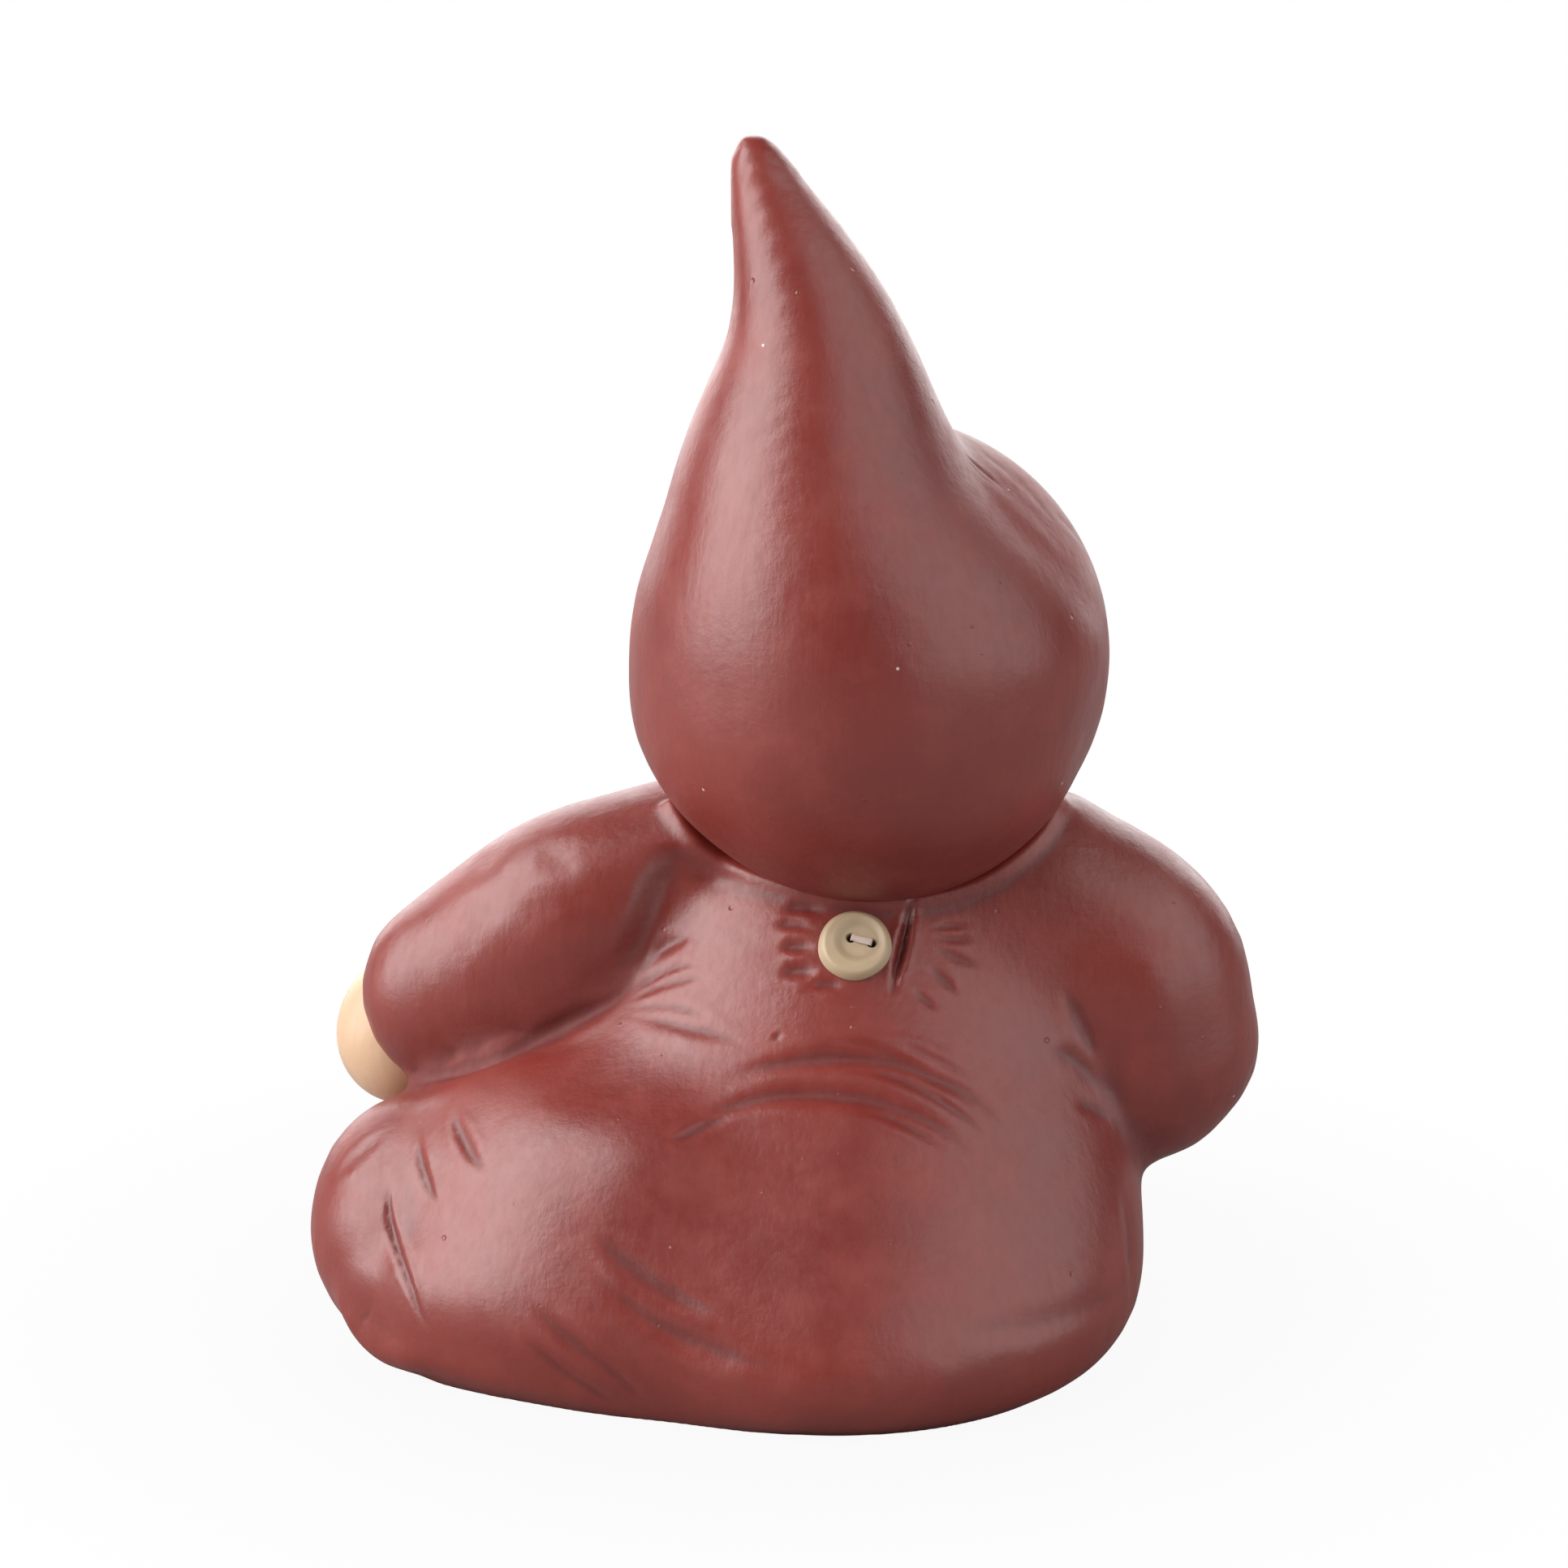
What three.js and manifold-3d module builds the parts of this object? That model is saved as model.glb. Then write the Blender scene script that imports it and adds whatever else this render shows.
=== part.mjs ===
// A seated tomte figure, cast in solid pieces that are pegged and glued together.
// Millimetres, +Z up. The figure faces -Y and its left hand is on the +X side.
import * as THREE from "three";
import { mergeVertices } from "three/addons/utils/BufferGeometryUtils.js";
import Module from "manifold-3d";

const wasm = await Module();
wasm.setup();

// Driving dimensions

// The glue seam between two castings, and the play of a peg in its socket.
const SEAM = 0.3;
const PEG_PLAY = 0.3;

// The head is a ball that sits in a dish on the shoulders.
const HEAD_CENTRE = new THREE.Vector3(-9.9, -1.4, 80.0);
const HEAD_RADIUS = 27.3;
const NECK_PEG_RADIUS = 6;
const NECK_PEG_LENGTH = 10;
const NECK_PEG_ROOT = 4;

// The hood above and around the head ball, as level sections in shares of the head's radius.
// Height and place from the head's centre, then the reach to the left, right, front and back.
const HOOD_SHARES = [
  [-1.011, 0.000, 0.066, 0.125, 0.125, 0.110, 0.125],
  [-0.967, 0.000, 0.066, 0.344, 0.344, 0.293, 0.344],
  [-0.824, 0.000, 0.066, 0.601, 0.593, 0.535, 0.601],
  [-0.586, 0.004, 0.066, 0.842, 0.813, 0.755, 0.850],
  [-0.282, 0.011, 0.066, 0.982, 0.938, 0.894, 0.989],
  [0.062, 0.018, 0.081, 0.989, 1.000, 0.916, 1.004],
  [0.293, 0.059, 0.110, 0.916, 0.974, 0.835, 0.952],
  [0.495, 0.106, 0.161, 0.806, 0.886, 0.718, 0.857],
  [0.674, 0.158, 0.205, 0.696, 0.755, 0.586, 0.747],
  [0.842, 0.198, 0.234, 0.608, 0.623, 0.520, 0.645],
  [1.011, 0.220, 0.249, 0.527, 0.535, 0.476, 0.549],
  [1.161, 0.223, 0.256, 0.462, 0.469, 0.425, 0.469],
  [1.311, 0.227, 0.256, 0.392, 0.407, 0.374, 0.399],
  [1.410, 0.238, 0.253, 0.348, 0.370, 0.341, 0.359],
  [1.575, 0.267, 0.242, 0.300, 0.308, 0.289, 0.304],
  [1.740, 0.326, 0.227, 0.245, 0.253, 0.238, 0.253],
  [1.872, 0.381, 0.212, 0.198, 0.205, 0.198, 0.205],
  [1.971, 0.421, 0.201, 0.158, 0.165, 0.161, 0.165],
  [2.066, 0.458, 0.198, 0.121, 0.128, 0.125, 0.128],
  [2.132, 0.476, 0.198, 0.092, 0.095, 0.095, 0.095],
  [2.176, 0.487, 0.198, 0.051, 0.051, 0.051, 0.051],
];

// The torso and the seat, as level sections in millimetres: height, centre x and y,
// then the reach to the left, right, front and back.
const BODY_SECTIONS = [
  [0.0, -6.0, 8.0, 34.0, 28.6, 29.0, 28.2],
  [1.4, -6.0, 8.0, 37.0, 31.4, 32.0, 30.8],
  [4.5, -6.0, 8.0, 39.0, 34.0, 33.4, 32.2],
  [9.0, -6.0, 8.0, 40.0, 35.5, 33.6, 32.2],
  [15.0, -6.0, 7.4, 39.4, 35.6, 33.0, 29.4],
  [22.0, -6.2, 5.8, 37.4, 34.8, 30.6, 26.0],
  [30.0, -6.8, 3.4, 34.0, 32.2, 26.6, 22.8],
  [38.0, -7.6, 0.8, 30.0, 29.2, 22.6, 20.0],
  [46.0, -8.4, -1.8, 25.6, 26.4, 19.0, 17.0],
  [53.0, -9.0, -3.6, 22.4, 23.8, 16.4, 13.8],
  [59.0, -9.4, -4.4, 18.6, 20.4, 13.6, 9.8],
  [63.0, -9.6, -4.6, 13.4, 14.8, 9.6, 6.4],
];

// Limbs: stations along a spine, each x, y, z, the half width across and the half height.
const LEFT_ARM = [
  [12.0, -5.4, 52.9, 10.8, 11.4],
  [23.6, -4.8, 48.0, 11.8, 12.8],
  [32.4, -5.6, 42.6, 11.4, 12.2],
  [38.0, -6.6, 38.6, 10.4, 11.4],
  [41.2, -9.4, 36.0, 9.6, 9.8],
];
// The cloth of the left sleeve sags a little towards the back.
const LEFT_SLEEVE_SAG = [
  [17.0, -3.2, 47.0, 8.4, 8.4],
  [26.0, -2.6, 42.8, 9.2, 9.2],
  [34.0, -4.0, 39.0, 8.6, 8.8],
];
// The left elbow is a fuller, egg-shaped ball: place, then half width, half depth and half height.
const LEFT_ELBOW = [39.0, -5.8, 38.6, 10.6, 9.6, 11.6];
const RIGHT_UPPER_ARM = [
  [-28.6, -2.0, 51.0, 12.6, 13.2],
  [-38.4, -1.0, 43.2, 13.0, 14.5],
  [-42.2, -1.0, 34.0, 12.8, 13.4],
];
const RIGHT_FOREARM = [
  [-41.4, -1.0, 32.6, 12.6, 13.0],
  [-38.6, -13.0, 37.2, 10.4, 10.4],
  [-32.4, -23.4, 42.0, 8.6, 8.6],
];
const LEFT_THIGH = [
  [-2.0, 14.0, 13.0, 17.0, 18.0],
  [15.0, 10.6, 13.2, 23.0, 22.8],
  [30.0, 6.6, 13.4, 20.2, 21.4],
  [41.1, 4.4, 12.8, 14.2, 16.4],
];
const LEFT_LAP = [
  [2.0, 1.0, 33.6, 15.0, 14.0],
  [16.0, 1.0, 29.2, 14.0, 12.5],
  [28.0, -1.0, 21.8, 12.0, 10.5],
  [38.0, -4.0, 15.8, 11.0, 10.0],
];
const LEFT_HAUNCH = [
  [0.0, 15.3, 9.0, 21.4, 13.6],
  [18.0, 15.3, 9.0, 20.6, 13.4],
  [34.0, 11.0, 9.0, 16.4, 12.2],
  [41.8, 8.0, 9.0, 12.0, 10.2],
];
const LEFT_SHIN = [
  [40.8, 1.0, 11.8, 12.6, 12.6],
  [34.4, -20.0, 10.6, 11.0, 10.8],
  [18.0, -36.0, 9.4, 8.8, 8.8],
];
const RIGHT_THIGH = [
  [-22.0, -4.0, 17.0, 16.4, 16.0],
  [-25.6, -18.0, 23.6, 14.4, 14.2],
  [-27.6, -32.0, 30.0, 12.2, 12.4],
];
const RIGHT_SHIN = [
  [-27.6, -32.0, 30.0, 12.0, 12.0],
  [-26.6, -38.4, 20.0, 10.6, 10.8],
  [-25.6, -41.6, 9.5, 9.4, 9.4],
];
const LEFT_BOOT = [
  [13.6, -40.0, 8.6, 7.4, 7.4],
  [5.0, -44.6, 7.0, 7.4, 7.0],
  [-5.0, -47.4, 5.8, 7.2, 5.8],
];
const RIGHT_BOOT = [
  [-25.4, -40.4, 6.6, 7.6, 7.2],
  [-25.6, -48.0, 6.4, 7.8, 6.6],
  [-26.0, -54.0, 5.4, 7.4, 5.6],
];
const LEFT_PALM = [
  [45.6, -12.0, 31.8, 7.6, 8.8],
  [46.0, -16.0, 30.0, 7.6, 8.6],
  [45.0, -20.4, 27.4, 6.6, 6.6],
];
const RIGHT_PALM = [
  [-31.6, -26.4, 44.0, 7.4, 6.2],
  [-30.4, -31.0, 46.4, 8.2, 5.8],
  [-28.6, -37.0, 46.0, 7.4, 4.8],
];
const LEFT_THUMB = [
  [40.6, -12.6, 31.4, 3.0, 3.0],
  [37.8, -17.6, 29.8, 2.6, 2.6],
];
const RIGHT_THUMB = [
  [-24.6, -26.6, 46.4, 3.0, 3.0],
  [-20.8, -31.0, 44.6, 2.6, 2.6],
];
// How square the section of a thigh that rests on the floor is; 2 is an ellipse.
const SEAT_SQUARENESS = 2.3;
// Below 2 the section is leaner than an ellipse, so the thigh slopes evenly down from the arm.
const THIGH_ROUNDNESS = 1.75;
const ROUND = 2;

// The left leg is parted from the seat by a flat upright joint: its direction in plan, and how far out.
const HIP_DIRECTION = THREE.MathUtils.degToRad(-32);
const HIP_JOINT = 20;

// The pegs that hold the limbs: the end inside the limb, then the end inside the body.
const LEFT_ARM_PEG = [
  [20.0, -5.4, 49.0],
  [5.6, -4.0, 46.0],
];
const RIGHT_ARM_PEG = [
  [-37.0, -1.4, 45.0],
  [-23.8, -1.4, 43.0],
];
const LEFT_LEG_PEG = [
  [34.0, 8.0, 14.0],
  [18.4, 10.0, 14.0],
];
const RIGHT_LEG_PEG = [
  [-26.0, -28.0, 20.0],
  [-24.0, -14.8, 18.0],
];
const ARM_PEG_RADIUS = 3;
const LEG_PEG_RADIUS = 4;

// The pegs of the hands and boots end a share of the way up the last span of the limb.
const WRIST_PEG_RADIUS = 3.2;
const WRIST_PEG_SHARE = 0.6;
const ANKLE_PEG_RADIUS = 3.4;
const ANKLE_PEG_SHARE = 0.3;
const ANKLE_PEG_SINK = 2;

// The collar lies against the hood. Its middle line goes round a centre in the head: a direction,
// then how far the line stands off the head ball. It starts at the back and goes round by the left.
const COLLAR_SET_BACK = 1.6;
const COLLAR_LINE = [
  [0, 7, -26.6, 0.1],
  [12, 7.2, -23.4, 0.6],
  [19, 3, -18.5, 0.9],
  [20, -5, -17, 0.9],
  [13, -14, -19.5, 0.9],
  [0, -17, -21, 0.9],
  [-13, -14, -19.5, 0.9],
  [-20, -5, -17, 0.9],
  [-19, 3, -18.5, 0.9],
  [-12, 7.2, -23.4, 0.6],
];
const COLLAR_THICKNESS = 2.8;

// The face is an oval inset, turned a little to the figure's right.
const FACE_TURN = THREE.MathUtils.degToRad(-14);
const FACE_HALF_WIDTH = 15.4;
const FACE_HALF_HEIGHT = 16.6;
const FACE_INSET = 6.7;
const FACE_THICKNESS = 8.6;
const FACE_DOME = 5.4;
const FACE_DROP = -1.0;
const NOSE_RADIUS = 4.6;
const NOSE_HEIGHT = 0.5;
const NOSE_PEG_RADIUS = 1.6;
const NOSE_PEG_END = 1;
const EYE_RADIUS = 1.7;
const EYE_SPACING = 11;
const EYE_HEIGHT = 4.6;

// Moustache and beard: place across, how far before the edge of the face, height from the
// head's centre, then the half width and the half height or depth.
const MOUSTACHE_WING = [
  [0.8, 6.2, -4.6, 2.4, 2.4],
  [5.6, 6.0, -5.6, 2.6, 2.8],
  [10.4, 3.6, -7.6, 1.8, 1.8],
  [13.4, 1.0, -8.2, 0.9, 0.9],
];
const BEARD = [
  [0.0, 3.4, -9.0, 12.6, 4.6],
  [0.0, 4.6, -16.0, 14.2, 6.0],
  [0.0, 4.0, -24.0, 11.2, 6.4],
  [0.0, 1.6, -31.0, 5.6, 5.0],
];

// The button on the back, below the middle line of the collar, and the slit beside it.
const BUTTON_DROP = 4.3;
const BUTTON_ASIDE = 1.9;
const BUTTON_SINK = 0.4;
const BUTTON_RADIUS = 4.15;
const BUTTON_THICKNESS = 1.7;
const BUTTON_RIM = 0.9;
const BUTTON_DISH_DEPTH = 0.55;
const BUTTON_SHANK_RADIUS = 1.5;
const BUTTON_SHANK_LENGTH = 2.6;
const BUTTON_SHANK_ROOT = 0.3;
const BUTTON_HOLE_RADIUS = 0.6;
const BUTTON_HOLE_FLOOR = 0.35;
const BUTTON_HOLE_SPACING = 2.4;
const THREAD_WIDTH = 0.8;
const THREAD_HEIGHT = 0.4;
const THREAD_LEG = 0.4;
const SLIT_LENGTH = 12.6;
const SLIT_WIDTH = 1.1;
const SLIT_DEPTH = 2;
const SLIT_ASIDE = 5.4;
const SLIT_LEAN = THREE.MathUtils.degToRad(-11);

// How finely the surfaces are divided.
const SIDES_LARGE = 36;
const SIDES_LIMB = 20;
const SIDES_SMALL = 12;
const RINGS_PER_SPAN = 2;
const DOME_RINGS = 3;

// Surfaces

// A smooth function through rows of numbers, read at 0, 1, 2 and between.
function throughRows(rows) {
  const width = rows[0].length;
  const positions = rows.map((row, i) => i);
  const curve = new THREE.CubicInterpolant(positions, rows.flat(), width);
  return (at) => Array.from(curve.evaluate(at));
}

// A closed surface through rings of points, with a pole at each end. Faces look outwards.
function ringSurface(rings, firstPole, lastPole) {
  const sides = rings[0].length;
  const points = [firstPole, ...rings.flat(), lastPole];
  const faces = [];
  const at = (ring, side) => 1 + ring * sides + (side % sides);
  for (let side = 0; side < sides; side += 1) {
    faces.push(0, at(0, side + 1), at(0, side));
    for (let ring = 0; ring + 1 < rings.length; ring += 1) {
      faces.push(at(ring, side), at(ring, side + 1), at(ring + 1, side + 1));
      faces.push(at(ring, side), at(ring + 1, side + 1), at(ring + 1, side));
    }
    faces.push(points.length - 1, at(rings.length - 1, side), at(rings.length - 1, side + 1));
  }
  const geometry = new THREE.BufferGeometry();
  geometry.setFromPoints(points);
  geometry.setIndex(faces);
  return geometry;
}

// A surface through level sections, whose reach differs to the left, right, front and back.
function levelSurface(sections, sides, levelsPerSection) {
  const section = throughRows(sections);
  const rings = [];
  const steps = (sections.length - 1) * levelsPerSection;
  let poles = [];
  for (let step = 0; step <= steps; step += 1) {
    const [z, cx, cy, left, right, front, back] = section(step / levelsPerSection);
    const ring = [];
    for (let side = 0; side < sides; side += 1) {
      const angle = (side / sides) * Math.PI * 2;
      const c = Math.cos(angle);
      const s = Math.sin(angle);
      ring.push(new THREE.Vector3(cx + c * (c > 0 ? left : right), cy + s * (s > 0 ? back : front), z));
    }
    rings.push(ring);
    poles.push(new THREE.Vector3(cx, cy, z));
  }
  return ringSurface(rings, poles[0], poles[poles.length - 1]);
}

// A point on a section of half sizes a and b; power 2 is an ellipse and more is squarer.
function sectionPoint(angle, a, b, power) {
  const c = Math.cos(angle);
  const s = Math.sin(angle);
  return [
    Math.sign(c) * a * Math.abs(c) ** (2 / power),
    Math.sign(s) * b * Math.abs(s) ** (2 / power),
  ];
}

// A limb: sections across a bent spine, with a dome on each end.
function limbSurface(stations, sides, power = ROUND, domes = [1, 1]) {
  const station = throughRows(stations);
  const last = stations.length - 1;
  const spine = (t) => new THREE.Vector3(...station(THREE.MathUtils.clamp(t, 0, last)).slice(0, 3));
  const rings = [];
  const addRing = (t, push, shrink) => {
    const small = 0.01;
    const along = spine(t + small).sub(spine(t - small)).normalize();
    const across = new THREE.Vector3(0, 0, 1).cross(along);
    if (across.length() < 0.25) across.set(1, 0, 0).addScaledVector(along, -along.x);
    across.normalize();
    const up = along.clone().cross(across);
    const [, , , a, b] = station(t);
    const centre = spine(t).addScaledVector(along, push * Math.min(a, b));
    const ring = [];
    for (let side = 0; side < sides; side += 1) {
      const [x, y] = sectionPoint((side / sides) * Math.PI * 2, a * shrink, b * shrink, power);
      ring.push(centre.clone().addScaledVector(across, x).addScaledVector(up, y));
    }
    rings.push(ring);
    return centre;
  };
  const dome = (t, sign, length) => {
    for (let k = 1; k <= DOME_RINGS; k += 1) {
      const turn = (k / (DOME_RINGS + 1)) * (Math.PI / 2);
      const rise = sign < 0 ? Math.PI / 2 - turn : turn;
      addRing(t, sign * Math.sin(rise) * length, Math.cos(rise));
    }
  };
  dome(0, -1, domes[0]);
  const steps = last * RINGS_PER_SPAN;
  for (let step = 0; step <= steps; step += 1) addRing(step / RINGS_PER_SPAN, 0, 1);
  dome(last, 1, domes[1]);
  const firstPole = addRing(0, -domes[0], 0.001);
  rings.pop();
  const lastPole = addRing(last, domes[1], 0.001);
  rings.pop();
  return ringSurface(rings, firstPole, lastPole);
}

// The same surface moved outwards by a distance, along its own normals.
function grown(geometry, distance) {
  const bare = geometry.clone();
  bare.deleteAttribute("normal");
  bare.deleteAttribute("uv");
  const merged = mergeVertices(bare, 1e-4);
  merged.computeVertexNormals();
  const place = merged.attributes.position;
  const normal = merged.attributes.normal;
  for (let i = 0; i < place.count; i += 1) {
    place.setXYZ(
      i,
      place.getX(i) + normal.getX(i) * distance,
      place.getY(i) + normal.getY(i) * distance,
      place.getZ(i) + normal.getZ(i) * distance,
    );
  }
  merged.deleteAttribute("normal");
  return merged;
}

// Solids

function solidOf(geometry) {
  const bare = geometry.clone();
  bare.deleteAttribute("normal");
  bare.deleteAttribute("uv");
  const merged = mergeVertices(bare, 1e-4);
  return new wasm.Manifold(
    new wasm.Mesh({
      numProp: 3,
      vertProperties: merged.attributes.position.array,
      triVerts: new Uint32Array(merged.index.array),
    }),
  );
}

// A form is one or more overlapping surfaces. It gives a solid, and the room that solid needs.
function form(...surfaces) {
  return {
    solid: surfaces.map(solidOf).reduce((a, b) => a.add(b)),
    room: surfaces.map((s) => solidOf(grown(s, SEAM))).reduce((a, b) => a.add(b)),
  };
}

// Everything below the floor, to trim what would reach through it.
const BEYOND = 400;
const belowFloor = solidOf(
  new THREE.BoxGeometry(BEYOND, BEYOND, BEYOND).translate(0, 0, -BEYOND / 2),
);

// Everything outside the left hip joint, from a distance along its direction.
function outsideHip(distance) {
  const box = new THREE.BoxGeometry(BEYOND, BEYOND, BEYOND).translate(BEYOND / 2 + distance, 0, 0);
  return solidOf(box.rotateZ(HIP_DIRECTION));
}

function without(solid, ...others) {
  return others.reduce((left, other) => left.subtract(other), solid);
}

// A cylinder between two points.
function rod(from, to, radius, sides = SIDES_SMALL) {
  const along = to.clone().sub(from);
  const geometry = new THREE.CylinderGeometry(radius, radius, along.length(), sides);
  const turn = new THREE.Quaternion().setFromUnitVectors(
    new THREE.Vector3(0, 1, 0),
    along.clone().normalize(),
  );
  geometry.applyQuaternion(turn);
  const middle = from.clone().lerp(to, 0.5);
  return geometry.translate(middle.x, middle.y, middle.z);
}

// A peg that stands out of one piece, and the socket for it in the other.
function pegAndSocket(from, to, radius) {
  const beyond = to.clone().sub(from).setLength(PEG_PLAY);
  return {
    peg: solidOf(rod(from, to, radius)),
    socket: solidOf(rod(from, to.clone().add(beyond), radius + PEG_PLAY)),
  };
}

// The place of a limb's station.
function stationPoint(stations, index) {
  return new THREE.Vector3(...stations.at(index).slice(0, 3));
}

// A point that is a share of the way from a limb's last station to the one before it.
function upLastSpan(stations, share) {
  return stationPoint(stations, -1).lerp(stationPoint(stations, -2), share);
}

// An egg-shaped ball with its own half width, half depth and half height.
function ellipsoid(centre, halfWidth, halfDepth, halfHeight, sides = SIDES_SMALL) {
  const geometry = new THREE.SphereGeometry(1, sides, Math.ceil(sides / 2));
  geometry.rotateX(Math.PI / 2);
  geometry.scale(halfWidth, halfDepth, halfHeight);
  return geometry.translate(centre.x, centre.y, centre.z);
}

// Forms of the pieces, before they are fitted to each other

const headBall = ellipsoid(HEAD_CENTRE, HEAD_RADIUS, HEAD_RADIUS, HEAD_RADIUS, SIDES_LARGE);
const hoodSections = HOOD_SHARES.map(([height, x, y, ...reaches]) => [
  HEAD_CENTRE.z + height * HEAD_RADIUS,
  HEAD_CENTRE.x + x * HEAD_RADIUS,
  HEAD_CENTRE.y + y * HEAD_RADIUS,
  ...reaches.map((reach) => reach * HEAD_RADIUS),
]);
const hoodForm = form(levelSurface(hoodSections, SIDES_LARGE, 1), headBall);
const bodyForm = form(levelSurface(BODY_SECTIONS, SIDES_LARGE, 2));
const leftSleeveForm = form(
  limbSurface(LEFT_ARM, SIDES_LIMB, ROUND, [1, 0.25]),
  ellipsoid(new THREE.Vector3(...LEFT_ELBOW.slice(0, 3)), ...LEFT_ELBOW.slice(3), SIDES_LIMB),
  limbSurface(LEFT_SLEEVE_SAG, SIDES_LIMB),
);
const rightSleeveForm = form(
  limbSurface(RIGHT_UPPER_ARM, SIDES_LIMB),
  limbSurface(RIGHT_FOREARM, SIDES_LIMB, ROUND, [1, 0.25]),
);
const leftLegForm = form(
  limbSurface(LEFT_THIGH, SIDES_LIMB, THIGH_ROUNDNESS),
  limbSurface(LEFT_LAP, SIDES_LIMB),
  limbSurface(LEFT_HAUNCH, SIDES_LIMB, SEAT_SQUARENESS),
  limbSurface(LEFT_SHIN, SIDES_LIMB, ROUND, [1, 0.25]),
);
const rightLegForm = form(
  limbSurface(RIGHT_THIGH, SIDES_LIMB),
  limbSurface(RIGHT_SHIN, SIDES_LIMB, ROUND, [1, 0.2]),
);
const leftBootForm = form(limbSurface(LEFT_BOOT, SIDES_LIMB, SEAT_SQUARENESS));
const rightBootForm = form(limbSurface(RIGHT_BOOT, SIDES_LIMB, SEAT_SQUARENESS));
const leftHandForm = form(
  limbSurface(LEFT_PALM, SIDES_LIMB),
  limbSurface(LEFT_THUMB, SIDES_SMALL),
);
const rightHandForm = form(
  limbSurface(RIGHT_PALM, SIDES_LIMB),
  limbSurface(RIGHT_THUMB, SIDES_SMALL),
);

// A point of the collar's middle line.
function collarPoint([x, y, z, standOff]) {
  const centre = HEAD_CENTRE.clone().add(new THREE.Vector3(0, COLLAR_SET_BACK, 0));
  return new THREE.Vector3(x, y, z).setLength(HEAD_RADIUS + standOff).add(centre);
}

// The collar: a tube on the head ball.
function collarForm() {
  const middle = new THREE.CatmullRomCurve3(COLLAR_LINE.map(collarPoint), true);
  const tube = (radius) => solidOf(new THREE.TubeGeometry(middle, SIDES_LARGE, radius, 6, true));
  return { solid: tube(COLLAR_THICKNESS / 2), room: tube(COLLAR_THICKNESS / 2 + SEAM) };
}
const collar = collarForm();

// The face and what is on it are shaped in the frame of the head, looking along -Y.
const faceFrame = new THREE.Matrix4()
  .makeTranslation(HEAD_CENTRE.x, HEAD_CENTRE.y, HEAD_CENTRE.z)
  .multiply(new THREE.Matrix4().makeRotationZ(FACE_TURN));

const faceEdge = HEAD_RADIUS - FACE_INSET;
const faceBack = faceEdge - FACE_THICKNESS;
const faceFront = faceEdge + FACE_DOME;

// The oval outline of the inset, at a depth along the look of the face.
function faceRing(depth, shrink, wider = 0) {
  const ring = [];
  for (let side = 0; side < SIDES_LARGE; side += 1) {
    const angle = (side / SIDES_LARGE) * Math.PI * 2;
    ring.push(
      new THREE.Vector3(
        Math.cos(angle) * (FACE_HALF_WIDTH + wider) * shrink,
        -depth,
        Math.sin(angle) * (FACE_HALF_HEIGHT + wider) * shrink + FACE_DROP,
      ),
    );
  }
  return ring;
}

// The recess in the hood that takes the inset with a clearance round it, open to the front.
function faceRecess(clearance) {
  const back = faceBack - clearance;
  const mouth = HEAD_RADIUS * 1.5;
  const surface = ringSurface(
    [faceRing(back, 1, clearance), faceRing(mouth, 1, clearance)],
    new THREE.Vector3(0, -back, FACE_DROP),
    new THREE.Vector3(0, -mouth, FACE_DROP),
  );
  return solidOf(inFace(surface));
}

// The inset: straight sides and a domed front.
function faceSurface() {
  const rings = [];
  const addRing = (depth, shrink) => rings.push(faceRing(depth, shrink));
  addRing(faceBack, 1);
  addRing(faceEdge, 1);
  for (let k = 1; k <= DOME_RINGS * 2; k += 1) {
    const turn = (k / (DOME_RINGS * 2 + 1)) * (Math.PI / 2);
    addRing(faceEdge + FACE_DOME * Math.sin(turn), Math.cos(turn));
  }
  return ringSurface(
    rings,
    new THREE.Vector3(0, -faceBack, FACE_DROP),
    new THREE.Vector3(0, -faceFront, FACE_DROP),
  );
}
const inFace = (geometry) => geometry.applyMatrix4(faceFrame);
const facePoint = (x, y, z) => new THREE.Vector3(x, y, z).applyMatrix4(faceFrame);
const faceForm = form(inFace(faceSurface()));
const mirrored = (stations) => stations.map(([x, ...rest]) => [-x, ...rest]);
const beforeFace = (stations) => stations.map(([x, out, ...rest]) => [x, -faceEdge - out, ...rest]);
const moustacheWing = beforeFace(MOUSTACHE_WING);
const moustacheForm = form(
  inFace(limbSurface(moustacheWing, SIDES_SMALL)),
  inFace(limbSurface(mirrored(moustacheWing), SIDES_SMALL)),
);
const beardForm = form(inFace(limbSurface(beforeFace(BEARD), SIDES_LIMB)));
const noseFront = faceFront + NOSE_RADIUS * 0.35;
const noseForm = form(
  inFace(
    ellipsoid(new THREE.Vector3(0, -noseFront, NOSE_HEIGHT), NOSE_RADIUS, NOSE_RADIUS, NOSE_RADIUS),
  ),
);
const eyeForm = (side) => {
  const x = (side * EYE_SPACING) / 2;
  const across = x / FACE_HALF_WIDTH;
  const up = (EYE_HEIGHT - FACE_DROP) / FACE_HALF_HEIGHT;
  const dome = Math.sqrt(1 - across ** 2 - up ** 2);
  const place = new THREE.Vector3(x, -faceEdge - FACE_DOME * dome, EYE_HEIGHT);
  return form(inFace(ellipsoid(place, EYE_RADIUS, EYE_RADIUS, EYE_RADIUS)));
};
const leftEyeForm = eyeForm(1);
const rightEyeForm = eyeForm(-1);

// The depth of the back's middle line at a height, found by halving the span that holds it.
function backDepth(height) {
  const section = throughRows(BODY_SECTIONS);
  let low = 0;
  let high = BODY_SECTIONS.length - 1;
  for (let step = 0; step < 40; step += 1) {
    const half = (low + high) / 2;
    if (section(half)[0] < height) low = half;
    else high = half;
  }
  const [, , centreY, , , , back] = section(low);
  return centreY + back;
}

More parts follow.
